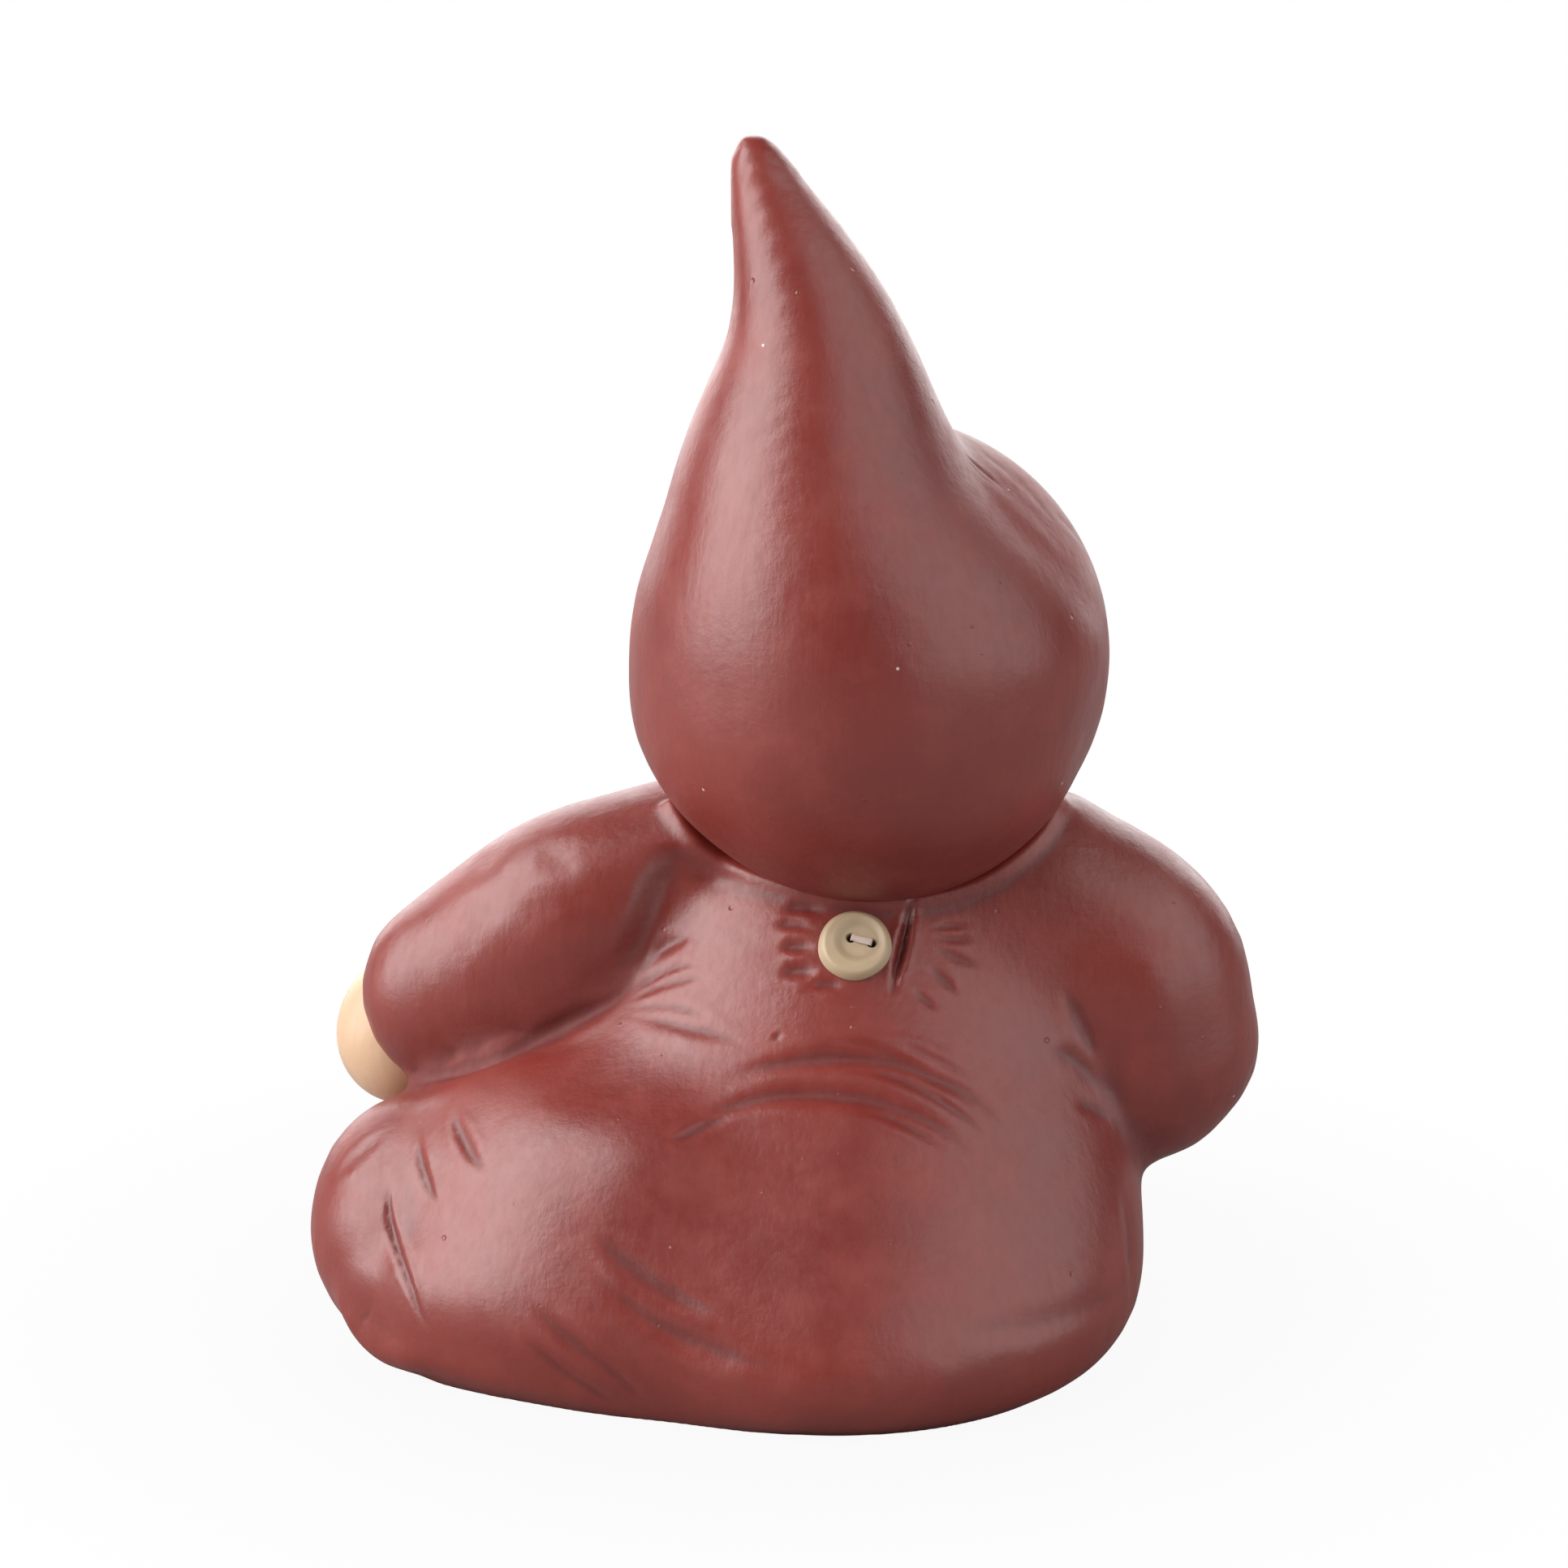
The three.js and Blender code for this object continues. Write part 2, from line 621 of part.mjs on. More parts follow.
// The button is laid on the slope of the back, square to it.
const buttonHeight = collarPoint(COLLAR_LINE[0]).z - BUTTON_DROP;
const buttonPlace = new THREE.Vector3(
  HEAD_CENTRE.x + BUTTON_ASIDE,
  backDepth(buttonHeight) - BUTTON_SINK,
  buttonHeight,
);
const backFall =
  backDepth(buttonHeight - BUTTON_RADIUS) - backDepth(buttonHeight + BUTTON_RADIUS);
const buttonTilt = Math.atan2(2 * BUTTON_RADIUS, backFall);
const buttonFrame = new THREE.Matrix4()
  .makeTranslation(buttonPlace.x, buttonPlace.y, buttonPlace.z)
  .multiply(new THREE.Matrix4().makeRotationX(-buttonTilt));
function buttonSurface() {
  const profile = [
    [0, 0],
    [BUTTON_RADIUS * 0.82, 0],
    [BUTTON_RADIUS, BUTTON_THICKNESS * 0.4],
    [BUTTON_RADIUS * 0.95, BUTTON_THICKNESS * 0.85],
    [BUTTON_RADIUS - BUTTON_RIM, BUTTON_THICKNESS],
    [BUTTON_RADIUS - BUTTON_RIM * 1.6, BUTTON_THICKNESS - BUTTON_DISH_DEPTH],
    [0, BUTTON_THICKNESS - BUTTON_DISH_DEPTH],
  ].map((p) => new THREE.Vector2(...p));
  return new THREE.LatheGeometry(profile, SIDES_LIMB).rotateX(Math.PI / 2);
}
const inButton = (geometry) => geometry.applyMatrix4(buttonFrame);
const buttonPoint = (x, y, z) => new THREE.Vector3(x, y, z).applyMatrix4(buttonFrame);
const buttonForm = form(inButton(buttonSurface()));

// Pegs

const neckPeg = pegAndSocket(
  HEAD_CENTRE.clone().add(new THREE.Vector3(0, 0, NECK_PEG_ROOT - HEAD_RADIUS)),
  HEAD_CENTRE.clone().add(new THREE.Vector3(0, 0, -HEAD_RADIUS - NECK_PEG_LENGTH)),
  NECK_PEG_RADIUS,
);
const limbPeg = ([from, to], radius) =>
  pegAndSocket(new THREE.Vector3(...from), new THREE.Vector3(...to), radius);
const leftArmPeg = limbPeg(LEFT_ARM_PEG, ARM_PEG_RADIUS);
const rightArmPeg = limbPeg(RIGHT_ARM_PEG, ARM_PEG_RADIUS);
const leftLegPeg = limbPeg(LEFT_LEG_PEG, LEG_PEG_RADIUS);
const rightLegPeg = limbPeg(RIGHT_LEG_PEG, LEG_PEG_RADIUS);
const leftWristPeg = pegAndSocket(
  stationPoint(LEFT_PALM, 0),
  upLastSpan(LEFT_ARM, WRIST_PEG_SHARE),
  WRIST_PEG_RADIUS,
);
const rightWristPeg = pegAndSocket(
  stationPoint(RIGHT_PALM, 1),
  upLastSpan(RIGHT_FOREARM, WRIST_PEG_SHARE),
  WRIST_PEG_RADIUS,
);
const leftAnklePeg = pegAndSocket(
  stationPoint(LEFT_BOOT, 1),
  upLastSpan(LEFT_SHIN, ANKLE_PEG_SHARE),
  ANKLE_PEG_RADIUS,
);
const rightAnklePeg = pegAndSocket(
  stationPoint(RIGHT_BOOT, 0).add(new THREE.Vector3(0, 0, -ANKLE_PEG_SINK)),
  upLastSpan(RIGHT_SHIN, ANKLE_PEG_SHARE),
  ANKLE_PEG_RADIUS,
);
const nosePeg = pegAndSocket(
  facePoint(0, -noseFront, NOSE_HEIGHT),
  facePoint(0, -faceEdge - NOSE_PEG_END, NOSE_HEIGHT),
  NOSE_PEG_RADIUS,
);
const buttonShank = pegAndSocket(
  buttonPoint(0, 0, BUTTON_SHANK_ROOT),
  buttonPoint(0, 0, -BUTTON_SHANK_LENGTH),
  BUTTON_SHANK_RADIUS,
);

// The slit beside the button: a lens-shaped groove that runs down the back.
function slitSolid() {
  const lens = ellipsoid(new THREE.Vector3(), SLIT_WIDTH / 2, SLIT_LENGTH / 2, SLIT_DEPTH);
  lens.rotateZ(SLIT_LEAN);
  lens.translate(-SLIT_ASIDE, 0, 0);
  return solidOf(inButton(lens));
}

// The button's face is the floor of its dish.
const dishFloor = BUTTON_THICKNESS - BUTTON_DISH_DEPTH;
const holeOffsets = [-BUTTON_HOLE_SPACING / 2, BUTTON_HOLE_SPACING / 2];

// A box that stands between two heights on the button's axis.
function buttonBlock(x, width, depth, bottom, top) {
  const block = new THREE.BoxGeometry(width, depth, top - bottom);
  block.translate(x, 0, (bottom + top) / 2);
  return solidOf(inButton(block));
}

// The thread: a bar just above the dish, with a leg down into each hole.
function threadSolid() {
  const top = dishFloor + SEAM + THREAD_HEIGHT;
  const length = BUTTON_HOLE_SPACING + THREAD_LEG;
  const bar = buttonBlock(0, length, THREAD_WIDTH, dishFloor + SEAM, top);
  const legs = holeOffsets.map((x) =>
    buttonBlock(x, THREAD_LEG, THREAD_LEG, BUTTON_HOLE_FLOOR + SEAM, top),
  );
  return legs.reduce((a, b) => a.add(b), bar);
}

// The two holes, from above the rim down to a floor inside the button.
function holeSolids() {
  const reach = BUTTON_THICKNESS * 2;
  const holes = holeOffsets.map((x) => {
    const hole = new THREE.CylinderGeometry(
      BUTTON_HOLE_RADIUS,
      BUTTON_HOLE_RADIUS,
      reach,
      SIDES_SMALL,
    );
    hole.rotateX(Math.PI / 2);
    hole.translate(x, 0, BUTTON_HOLE_FLOOR + reach / 2);
    return solidOf(inButton(hole));
  });
  return holes.reduce((a, b) => a.add(b));
}

// Fitting: where two forms would share room, one of them is cut back by the other's room

const pieces = {};
pieces.hood = without(hoodForm.solid.add(neckPeg.peg), faceRecess(SEAM));
// What lies over the rim of the recess stays clear of the hood without entering the seam behind it.
const headRoom = hoodForm.room.subtract(faceRecess(SEAM / 2));
pieces.face = without(faceForm.solid, noseForm.room, nosePeg.socket, leftEyeForm.room, rightEyeForm.room);
pieces.nose = noseForm.solid.add(nosePeg.peg);
pieces.left_eye = leftEyeForm.solid;
pieces.right_eye = rightEyeForm.solid;
pieces.moustache = without(moustacheForm.solid, faceForm.room, noseForm.room, headRoom);
pieces.collar_band = without(collar.solid, hoodForm.room);
const seatAndLeftLeg = without(
  bodyForm.solid.add(leftLegForm.solid.subtract(leftSleeveForm.room)),
  belowFloor,
);
pieces.body = without(
  seatAndLeftLeg,
  outsideHip(HIP_JOINT - SEAM / 2),
  hoodForm.room,
  neckPeg.socket,
  collar.room,
  leftArmPeg.socket,
  rightArmPeg.socket,
  leftLegPeg.socket,
  rightLegPeg.socket,
  buttonForm.room,
  buttonShank.socket,
  slitSolid(),
);
pieces.left_sleeve = without(leftSleeveForm.solid, bodyForm.room, hoodForm.room, collar.room)
  .add(leftArmPeg.peg)
  .subtract(leftWristPeg.socket);
pieces.right_sleeve = without(rightSleeveForm.solid, bodyForm.room, hoodForm.room, collar.room)
  .add(rightArmPeg.peg)
  .subtract(rightWristPeg.socket);
pieces.left_trouser_leg = seatAndLeftLeg
  .subtract(leftSleeveForm.room)
  .intersect(outsideHip(HIP_JOINT + SEAM / 2))
  .add(leftLegPeg.peg)
  .subtract(leftAnklePeg.socket);
pieces.right_trouser_leg = without(
  rightLegForm.solid,
  bodyForm.room,
  rightSleeveForm.room,
  belowFloor,
)
  .add(rightLegPeg.peg)
  .subtract(rightAnklePeg.socket);
pieces.left_hand = without(leftHandForm.solid, leftSleeveForm.room, leftLegForm.room).add(
  leftWristPeg.peg,
);
pieces.right_hand = without(rightHandForm.solid, rightSleeveForm.room, rightLegForm.room).add(
  rightWristPeg.peg,
);
pieces.left_boot = without(leftBootForm.solid, leftLegForm.room, belowFloor).add(leftAnklePeg.peg);
pieces.right_boot = without(rightBootForm.solid, rightLegForm.room, belowFloor).add(
  rightAnklePeg.peg,
);
pieces.beard = without(
  beardForm.solid,
  bodyForm.room,
  headRoom,
  faceForm.room,
  moustacheForm.room,
  collar.room,
);
pieces.back_button = buttonForm.solid.add(buttonShank.peg).subtract(holeSolids());
pieces.button_thread = threadSolid();

// Colours, as in the photograph where it shows them

const paint = (colour, roughness) => ({ color: colour, roughness, metalness: 0 });
const RED = paint("#8a4340", 0.45);
const SKIN = paint("#ecc9a4", 0.5);
const CREAM = paint("#c8bc9a", 0.45);
const WHITE = paint("#e6e1d8", 0.6);
const BROWN = paint("#4a3024", 0.5);
const BLACK = paint("#1d1714", 0.25);
const THREAD = paint("#dccabb", 0.6);
const FINISH = {
  hood: RED,
  body: RED,
  collar_band: RED,
  left_sleeve: RED,
  right_sleeve: RED,
  left_trouser_leg: RED,
  right_trouser_leg: RED,
  face: SKIN,
  nose: SKIN,
  left_hand: SKIN,
  right_hand: SKIN,
  left_eye: BLACK,
  right_eye: BLACK,
  moustache: WHITE,
  beard: WHITE,
  left_boot: BROWN,
  right_boot: BROWN,
  back_button: CREAM,
  button_thread: THREAD,
};

function meshOf(name, solid) {
  const data = solid.getMesh();
  const geometry = new THREE.BufferGeometry();
  geometry.setAttribute("position", new THREE.BufferAttribute(data.vertProperties, 3));
  geometry.setIndex(new THREE.BufferAttribute(data.triVerts, 1));
  geometry.computeVertexNormals();
  const mesh = new THREE.Mesh(geometry, new THREE.MeshStandardMaterial(FINISH[name]));
  mesh.name = name;
  return mesh;
}

const group = new THREE.Group();
for (const [name, solid] of Object.entries(pieces)) group.add(meshOf(name, solid));

// The origin is on the floor, under the middle of the figure.
const outline = new THREE.Box3().setFromObject(group);
const middle = outline.getCenter(new THREE.Vector3());
group.position.set(-middle.x, -middle.y, -outline.min.z);

export default group;
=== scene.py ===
"""The looks of the seated tomte figure. Metres, +Z up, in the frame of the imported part."""
import math
import random

import bpy
import numpy as np
from mathutils import Matrix, Vector
from mathutils.bvhtree import BVHTree


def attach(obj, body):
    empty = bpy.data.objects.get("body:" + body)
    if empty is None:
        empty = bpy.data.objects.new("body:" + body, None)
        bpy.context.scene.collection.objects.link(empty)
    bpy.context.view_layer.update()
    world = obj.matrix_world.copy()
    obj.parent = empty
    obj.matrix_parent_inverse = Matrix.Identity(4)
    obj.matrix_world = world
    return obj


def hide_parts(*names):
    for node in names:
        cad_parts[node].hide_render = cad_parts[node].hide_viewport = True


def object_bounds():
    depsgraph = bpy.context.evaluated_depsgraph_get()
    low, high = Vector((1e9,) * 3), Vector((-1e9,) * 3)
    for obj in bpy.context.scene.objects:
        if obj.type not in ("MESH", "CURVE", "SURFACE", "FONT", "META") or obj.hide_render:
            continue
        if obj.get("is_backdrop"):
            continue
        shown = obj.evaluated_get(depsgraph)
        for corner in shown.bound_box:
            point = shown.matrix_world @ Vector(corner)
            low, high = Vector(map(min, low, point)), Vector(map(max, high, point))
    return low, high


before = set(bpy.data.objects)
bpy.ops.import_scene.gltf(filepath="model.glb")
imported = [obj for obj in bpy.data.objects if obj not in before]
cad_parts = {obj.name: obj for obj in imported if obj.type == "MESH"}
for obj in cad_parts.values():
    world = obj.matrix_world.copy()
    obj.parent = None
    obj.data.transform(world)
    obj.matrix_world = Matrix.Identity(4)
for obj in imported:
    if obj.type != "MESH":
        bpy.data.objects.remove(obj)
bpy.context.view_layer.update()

MM = 0.001
# The part's own frame lies this far from the one that the tables below are measured in.
SHIFT = np.array([0.240, 9.506, 0.0])

# Camera.

PHOTO = 1932
LENS = 100.0
SENSOR = 36.0
ELEVATION = math.radians(14.0)
CAMERA_DISTANCE = 500.0
LOOK_AT = np.array([0.0, 0.0, 65.0])
FORWARD = np.array([0.0, -math.cos(ELEVATION), -math.sin(ELEVATION)])
PICTURE_UP = np.array([0.0, -math.sin(ELEVATION), math.cos(ELEVATION)])
PICTURE_RIGHT = np.array([-1.0, 0.0, 0.0])
EYE = LOOK_AT - FORWARD * CAMERA_DISTANCE
FOCAL = LENS / SENSOR * PHOTO

camera_data = bpy.data.cameras.new("camera")
camera_data.lens = LENS
camera_data.sensor_width = SENSOR
camera_data.clip_start = 0.01
camera_data.clip_end = 20.0
camera = bpy.data.objects.new("camera", camera_data)
camera.location = Vector((EYE + SHIFT) * MM)
camera.rotation_euler = (math.pi / 2 - ELEVATION, 0.0, math.pi)
bpy.context.scene.collection.objects.link(camera)
bpy.context.scene.camera = camera


def pixel_ray(px, py):
    """The direction from the camera through a pixel of the photograph."""
    ray = FORWARD + PICTURE_RIGHT * (px - PHOTO / 2) / FOCAL + PICTURE_UP * (PHOTO / 2 - py) / FOCAL
    return ray / np.linalg.norm(ray)


# Measured forms, millimetres.

HEAD_CENTRE = np.array([-9.9, -1.4, 80])
HEAD_RADIUS = 27.3
HOOD_SECTIONS = [
    [52.4, -9.9, 0.4, 3.4, 3.4, 3, 3.4], [53.6, -9.9, 0.4, 9.4, 9.4, 8, 9.4],
    [57.5, -9.9, 0.4, 16.4, 16.2, 14.6, 16.4], [64, -9.8, 0.4, 23, 22.2, 20.6, 23.2],
    [72.3, -9.6, 0.4, 26.8, 25.6, 24.4, 27], [81.7, -9.4, 0.8, 27, 27.3, 25, 27.4],
    [88, -8.3, 1.6, 25, 26.6, 22.8, 26], [93.5, -7, 3, 22, 24.2, 19.6, 23.4],
    [98.4, -5.6, 4.2, 19, 20.6, 16, 20.4], [103, -4.5, 5, 16.6, 17, 14.2, 17.6],
    [107.6, -3.9, 5.4, 14.4, 14.6, 13, 15], [111.7, -3.8, 5.6, 12.6, 12.8, 11.6, 12.8],
    [115.8, -3.7, 5.6, 10.7, 11.1, 10.2, 10.9], [118.5, -3.4, 5.5, 9.5, 10.1, 9.3, 9.8],
    [123, -2.6, 5.2, 8.2, 8.4, 7.9, 8.3], [127.5, -1, 4.8, 6.7, 6.9, 6.5, 6.9],
    [131.1, 0.5, 4.4, 5.4, 5.6, 5.4, 5.6], [133.8, 1.6, 4.1, 4.3, 4.5, 4.4, 4.5],
    [136.4, 2.6, 4, 3.3, 3.5, 3.4, 3.5], [138.2, 3.1, 4, 2.5, 2.6, 2.6, 2.6],
    [139.4, 3.4, 4, 1.4, 1.4, 1.4, 1.4],
]
BODY_SECTIONS = [
    [0, -6, 8, 34, 28.6, 29, 28.2], [1.4, -6, 8, 37, 31.4, 32, 30.8], [4.5, -6, 8, 39, 34, 33.4, 32.2],
    [9, -6, 8, 40, 35.5, 33.6, 32.2], [15, -6, 7.4, 39.4, 35.6, 33, 29.4],
    [22, -6.2, 5.8, 37.4, 34.8, 30.6, 26], [30, -6.8, 3.4, 34, 32.2, 26.6, 22.8],
    [38, -7.6, 0.8, 30, 29.2, 22.6, 20], [46, -8.4, -1.8, 25.6, 26.4, 19, 17],
    [53, -9, -3.6, 22.4, 23.8, 16.4, 13.8], [59, -9.4, -4.4, 18.6, 20.4, 13.6, 9.8],
    [63, -9.6, -4.6, 13.4, 14.8, 9.6, 6.4],
]
LEFT_ARM = [
    [12, -5.4, 52.9, 10.8, 11.4], [23.6, -4.8, 48, 11.8, 12.8], [32.4, -5.6, 42.6, 11.4, 12.2],
    [38, -6.6, 38.6, 10.4, 11.4], [41.2, -9.4, 36, 9.6, 9.8],
]
# The cloth of the left sleeve sags a little towards the back.
LEFT_SLEEVE_SAG = [
    [17, -3.2, 47, 8.4, 8.4], [26, -2.6, 42.8, 9.2, 9.2], [34, -4, 39, 8.6, 8.8],
]
LEFT_ELBOW = [39, -5.8, 38.6, 10.6, 9.6, 11.6]
RIGHT_UPPER_ARM = [
    [-28.6, -2, 51, 12.6, 13.2], [-38.4, -1, 43.2, 13, 14.5], [-42.2, -1, 34, 12.8, 13.4],
]
RIGHT_FOREARM = [
    [-41.4, -1, 32.6, 12.6, 13], [-38.6, -13, 37.2, 10.4, 10.4], [-32.4, -23.4, 42, 8.6, 8.6],
]
LEFT_THIGH = [
    [-2, 14, 13, 17, 18], [15, 10.6, 13.2, 23, 22.8], [30, 6.6, 13.4, 20.2, 21.4],
    [41.1, 4.4, 12.8, 14.2, 16.4],
]
LEFT_LAP = [
    [2, 1, 33.6, 15, 14], [16, 1, 29.2, 14, 12.5], [28, -1, 21.8, 12, 10.5], [38, -4, 15.8, 11, 10],
]
LEFT_HAUNCH = [
    [0, 15.3, 9, 21.4, 13.6], [18, 15.3, 9, 20.6, 13.4], [34, 11, 9, 16.4, 12.2], [41.8, 8, 9, 12, 10.2],
]
LEFT_SHIN = [
    [40.8, 1, 11.8, 12.6, 12.6], [34.4, -20, 10.6, 11, 10.8], [18, -36, 9.4, 8.8, 8.8],
]
RIGHT_THIGH = [
    [-22, -4, 17, 16.4, 16], [-25.6, -18, 23.6, 14.4, 14.2], [-27.6, -32, 30, 12.2, 12.4],
]
RIGHT_SHIN = [
    [-27.6, -32, 30, 12, 12], [-26.6, -38.4, 20, 10.6, 10.8], [-25.6, -41.6, 9.5, 9.4, 9.4],
]
LEFT_BOOT = [
    [13.6, -40, 8.6, 7.4, 7.4], [5, -44.6, 7, 7.4, 7], [-5, -47.4, 5.8, 7.2, 5.8],
]
RIGHT_BOOT = [
    [-25.4, -40.4, 6.6, 7.6, 7.2], [-25.6, -48, 6.4, 7.8, 6.6], [-26, -54, 5.4, 7.4, 5.6],
]
SEAT_SQUARENESS = 2.3
THIGH_ROUNDNESS = 1.75
ROUND = 2.0

# Surfaces: each function gives points and faces, in millimetres of the measured frame.


def circle(sides):
    """Cosines and sines of angles that go evenly round a circle."""
    angle = np.arange(sides) / sides * 2 * math.pi
    return np.cos(angle), np.sin(angle)


def eased(value):
    """From 0 to 1, with a soft start and a soft end."""
    t = np.clip(value, 0, 1)
    return t * t * (3 - 2 * t)


def bell(distance, width=1.0):
    """From 1 at no distance down to nothing well beyond the width."""
    return np.exp(-((distance / width) ** 2))


def through_rows(rows, at):
    """Values on a smooth curve through rows of numbers, read at 0, 1, 2 and between."""
    rows = np.asarray(rows, float)
    at = np.clip(np.asarray(at, float), 0, len(rows) - 1)
    i = np.minimum(at.astype(int), len(rows) - 2)
    t = (at - i)[:, None]
    padded = np.vstack([2 * rows[0] - rows[1], rows, 2 * rows[-1] - rows[-2]])
    before, p, q, after = (padded[i + k] for k in range(4))
    return 0.5 * (
        2 * p
        + (q - before) * t
        + (2 * before - 5 * p + 4 * q - after) * t**2
        + (3 * p - before - 3 * q + after) * t**3
    )


def steps_through(rows, per_span):
    """The same curve from end to end, in even steps."""
    spans = len(rows) - 1
    return through_rows(rows, np.linspace(0, spans, spans * per_span + 1))


def ring_surface(rings, first_pole, last_pole):
    """A closed surface through rings of points, with a pole at each end."""
    rings = np.asarray(rings, float)
    count, sides = rings.shape[:2]
    points = np.vstack([first_pole, rings.reshape(-1, 3), last_pole])
    turn = [(a, (a + 1) % sides) for a in range(sides)]
    last, end = 1 + (count - 1) * sides, len(points) - 1
    faces = [[0, 1 + b, 1 + a] for a, b in turn]
    for low in range(1, last, sides):
        high = low + sides
        faces += [[low + a, low + b, high + b, high + a] for a, b in turn]
    faces += [[end, last + a, last + b] for a, b in turn]
    return points, faces


def level_surface(sections, sides=96, per_section=5):
    """A surface through level sections, whose reach differs to the left, right, front and back."""
    values = steps_through(sections, per_section)
    c, s = circle(sides)
    z, x, y, left, right, front, back = values.T[:, :, None]
    x = x + c * np.where(c > 0, left, right)
    y = y + s * np.where(s > 0, back, front)
    rings = np.stack([x, y, z + 0 * c], axis=-1)
    return ring_surface(rings, values[0, [1, 2, 0]], values[-1, [1, 2, 0]])


NEARLY_UPRIGHT = 0.25


def limb_surface(stations, power=ROUND, domes=(1.0, 1.0), sides=64, per_span=10, dome_rings=12):
    """Sections across a bent spine, with a dome on each end."""
    last = len(stations) - 1
    unit = np.stack([np.sign(v) * np.abs(v) ** (2 / power) for v in circle(sides)], axis=1)

    def ring(t, push, shrink):
        a = through_rows(stations, [t - 0.01, t, t + 0.01])
        along = a[2, :3] - a[0, :3]
        along /= np.linalg.norm(along)
        across = np.cross([0, 0, 1.0], along)
        if np.linalg.norm(across) < NEARLY_UPRIGHT:
            across = np.array([1.0, 0, 0]) - along * along[0]
        across /= np.linalg.norm(across)
        up = np.cross(along, across)
        wide, high = a[1, 3], a[1, 4]
        centre = a[1, :3] + along * push * min(wide, high)
        return centre + shrink * (unit[:, :1] * wide * across + unit[:, 1:] * high * up), centre

    turns = [k / (dome_rings + 1) * math.pi / 2 for k in range(1, dome_rings + 1)]
    rings = [ring(0, -math.cos(t) * domes[0], math.sin(t))[0] for t in turns]
    rings += [ring(step / per_span, 0, 1)[0] for step in range(last * per_span + 1)]
    rings += [ring(last, math.sin(t) * domes[1], math.cos(t))[0] for t in turns]
    return ring_surface(rings, ring(0, -domes[0], 0)[1], ring(last, domes[1], 0)[1])


def ball_surface(centre, radii, sides=96):
    """An egg-shaped closed surface."""
    centre = np.asarray(centre, float)
    turn = np.arange(1, sides // 2)[:, None] / (sides // 2) * math.pi
    c, s = circle(sides)
    unit = np.stack([np.sin(turn) * c, np.sin(turn) * s, 0 * c - np.cos(turn)], axis=-1)
    pole = np.array([0, 0, radii[2]])
    return ring_surface(centre + unit * radii, centre - pole, centre + pole)


def loop_surface(line, radii, sides=14):
    """A closed tube round a loop of points."""
    along = np.roll(line, -1, axis=0) - np.roll(line, 1, axis=0)
    along /= np.linalg.norm(along, axis=1)[:, None]
    out = line - line.mean(axis=0)
    out -= along * (out * along).sum(axis=1)[:, None]
    out /= np.linalg.norm(out, axis=1)[:, None]
    up = np.cross(along, out)
    c, s = (v[None, :, None] for v in circle(sides))
    points = line[:, None] + (out[:, None] * c + up[:, None] * s) * radii[:, None, None]
    own = np.arange(len(line) * sides).reshape(-1, sides)
    beside = np.roll(own, -1, axis=1)
    faces = [own, beside, np.roll(beside, -1, axis=0), np.roll(own, -1, axis=0)]
    return points.reshape(-1, 3), np.stack(faces, axis=-1).reshape(-1, 4).tolist()


def joined(surfaces):
    """Several surfaces as one list of points and faces."""
    points, faces, start = [], [], 0
    for p, f in surfaces:
        points.append(np.asarray(p))
        faces += [[i + start for i in face] for face in f]
        start += len(p)
    return np.vstack(points), faces


# Meshes.


def mesh_object(name, points, faces):
    """A new object from points in millimetres of the measured frame."""
    mesh = bpy.data.meshes.new(name)
    mesh.from_pydata(((np.asarray(points) + SHIFT) * MM).tolist(), [], [list(f) for f in faces])
    mesh.update()
    obj = bpy.data.objects.new(name, mesh)
    bpy.context.scene.collection.objects.link(obj)
    return obj


def read(items, key, kind, width=1):
    """One value of each item of a mesh, such as its place."""
    out = np.empty(len(items) * width, kind)
    items.foreach_get(key, out)
    return out


def evaluated(obj, tag=None):
    """Points in millimetres, quads and the tags of an object as its modifiers leave it. Removes it."""
    shown = obj.evaluated_get(bpy.context.evaluated_depsgraph_get())
    mesh = shown.to_mesh()
    points = read(mesh.vertices, "co", np.float32, 3).astype(float).reshape(-1, 3) / MM - SHIFT
    faces = read(mesh.loops, "vertex_index", np.int32).astype(np.int64).reshape(-1, 4)
    tags = read(mesh.attributes[tag].data, "value", np.int32) if tag else None
    shown.to_mesh_clear()
    data = obj.data
    bpy.data.objects.remove(obj)
    bpy.data.meshes.remove(data)
    return points, faces, tags


def remeshed(surfaces, voxel):
    """The outer skin of overlapping closed surfaces, as even small faces. Voxel in millimetres."""
    obj = mesh_object("raw", *joined(surfaces))
    change = obj.modifiers.new("skin", "REMESH")
    change.mode = "VOXEL"
    change.voxel_size = voxel * MM
    change.adaptivity = 0.0
    points, faces, _ = evaluated(obj)
    return Skin(points, faces)


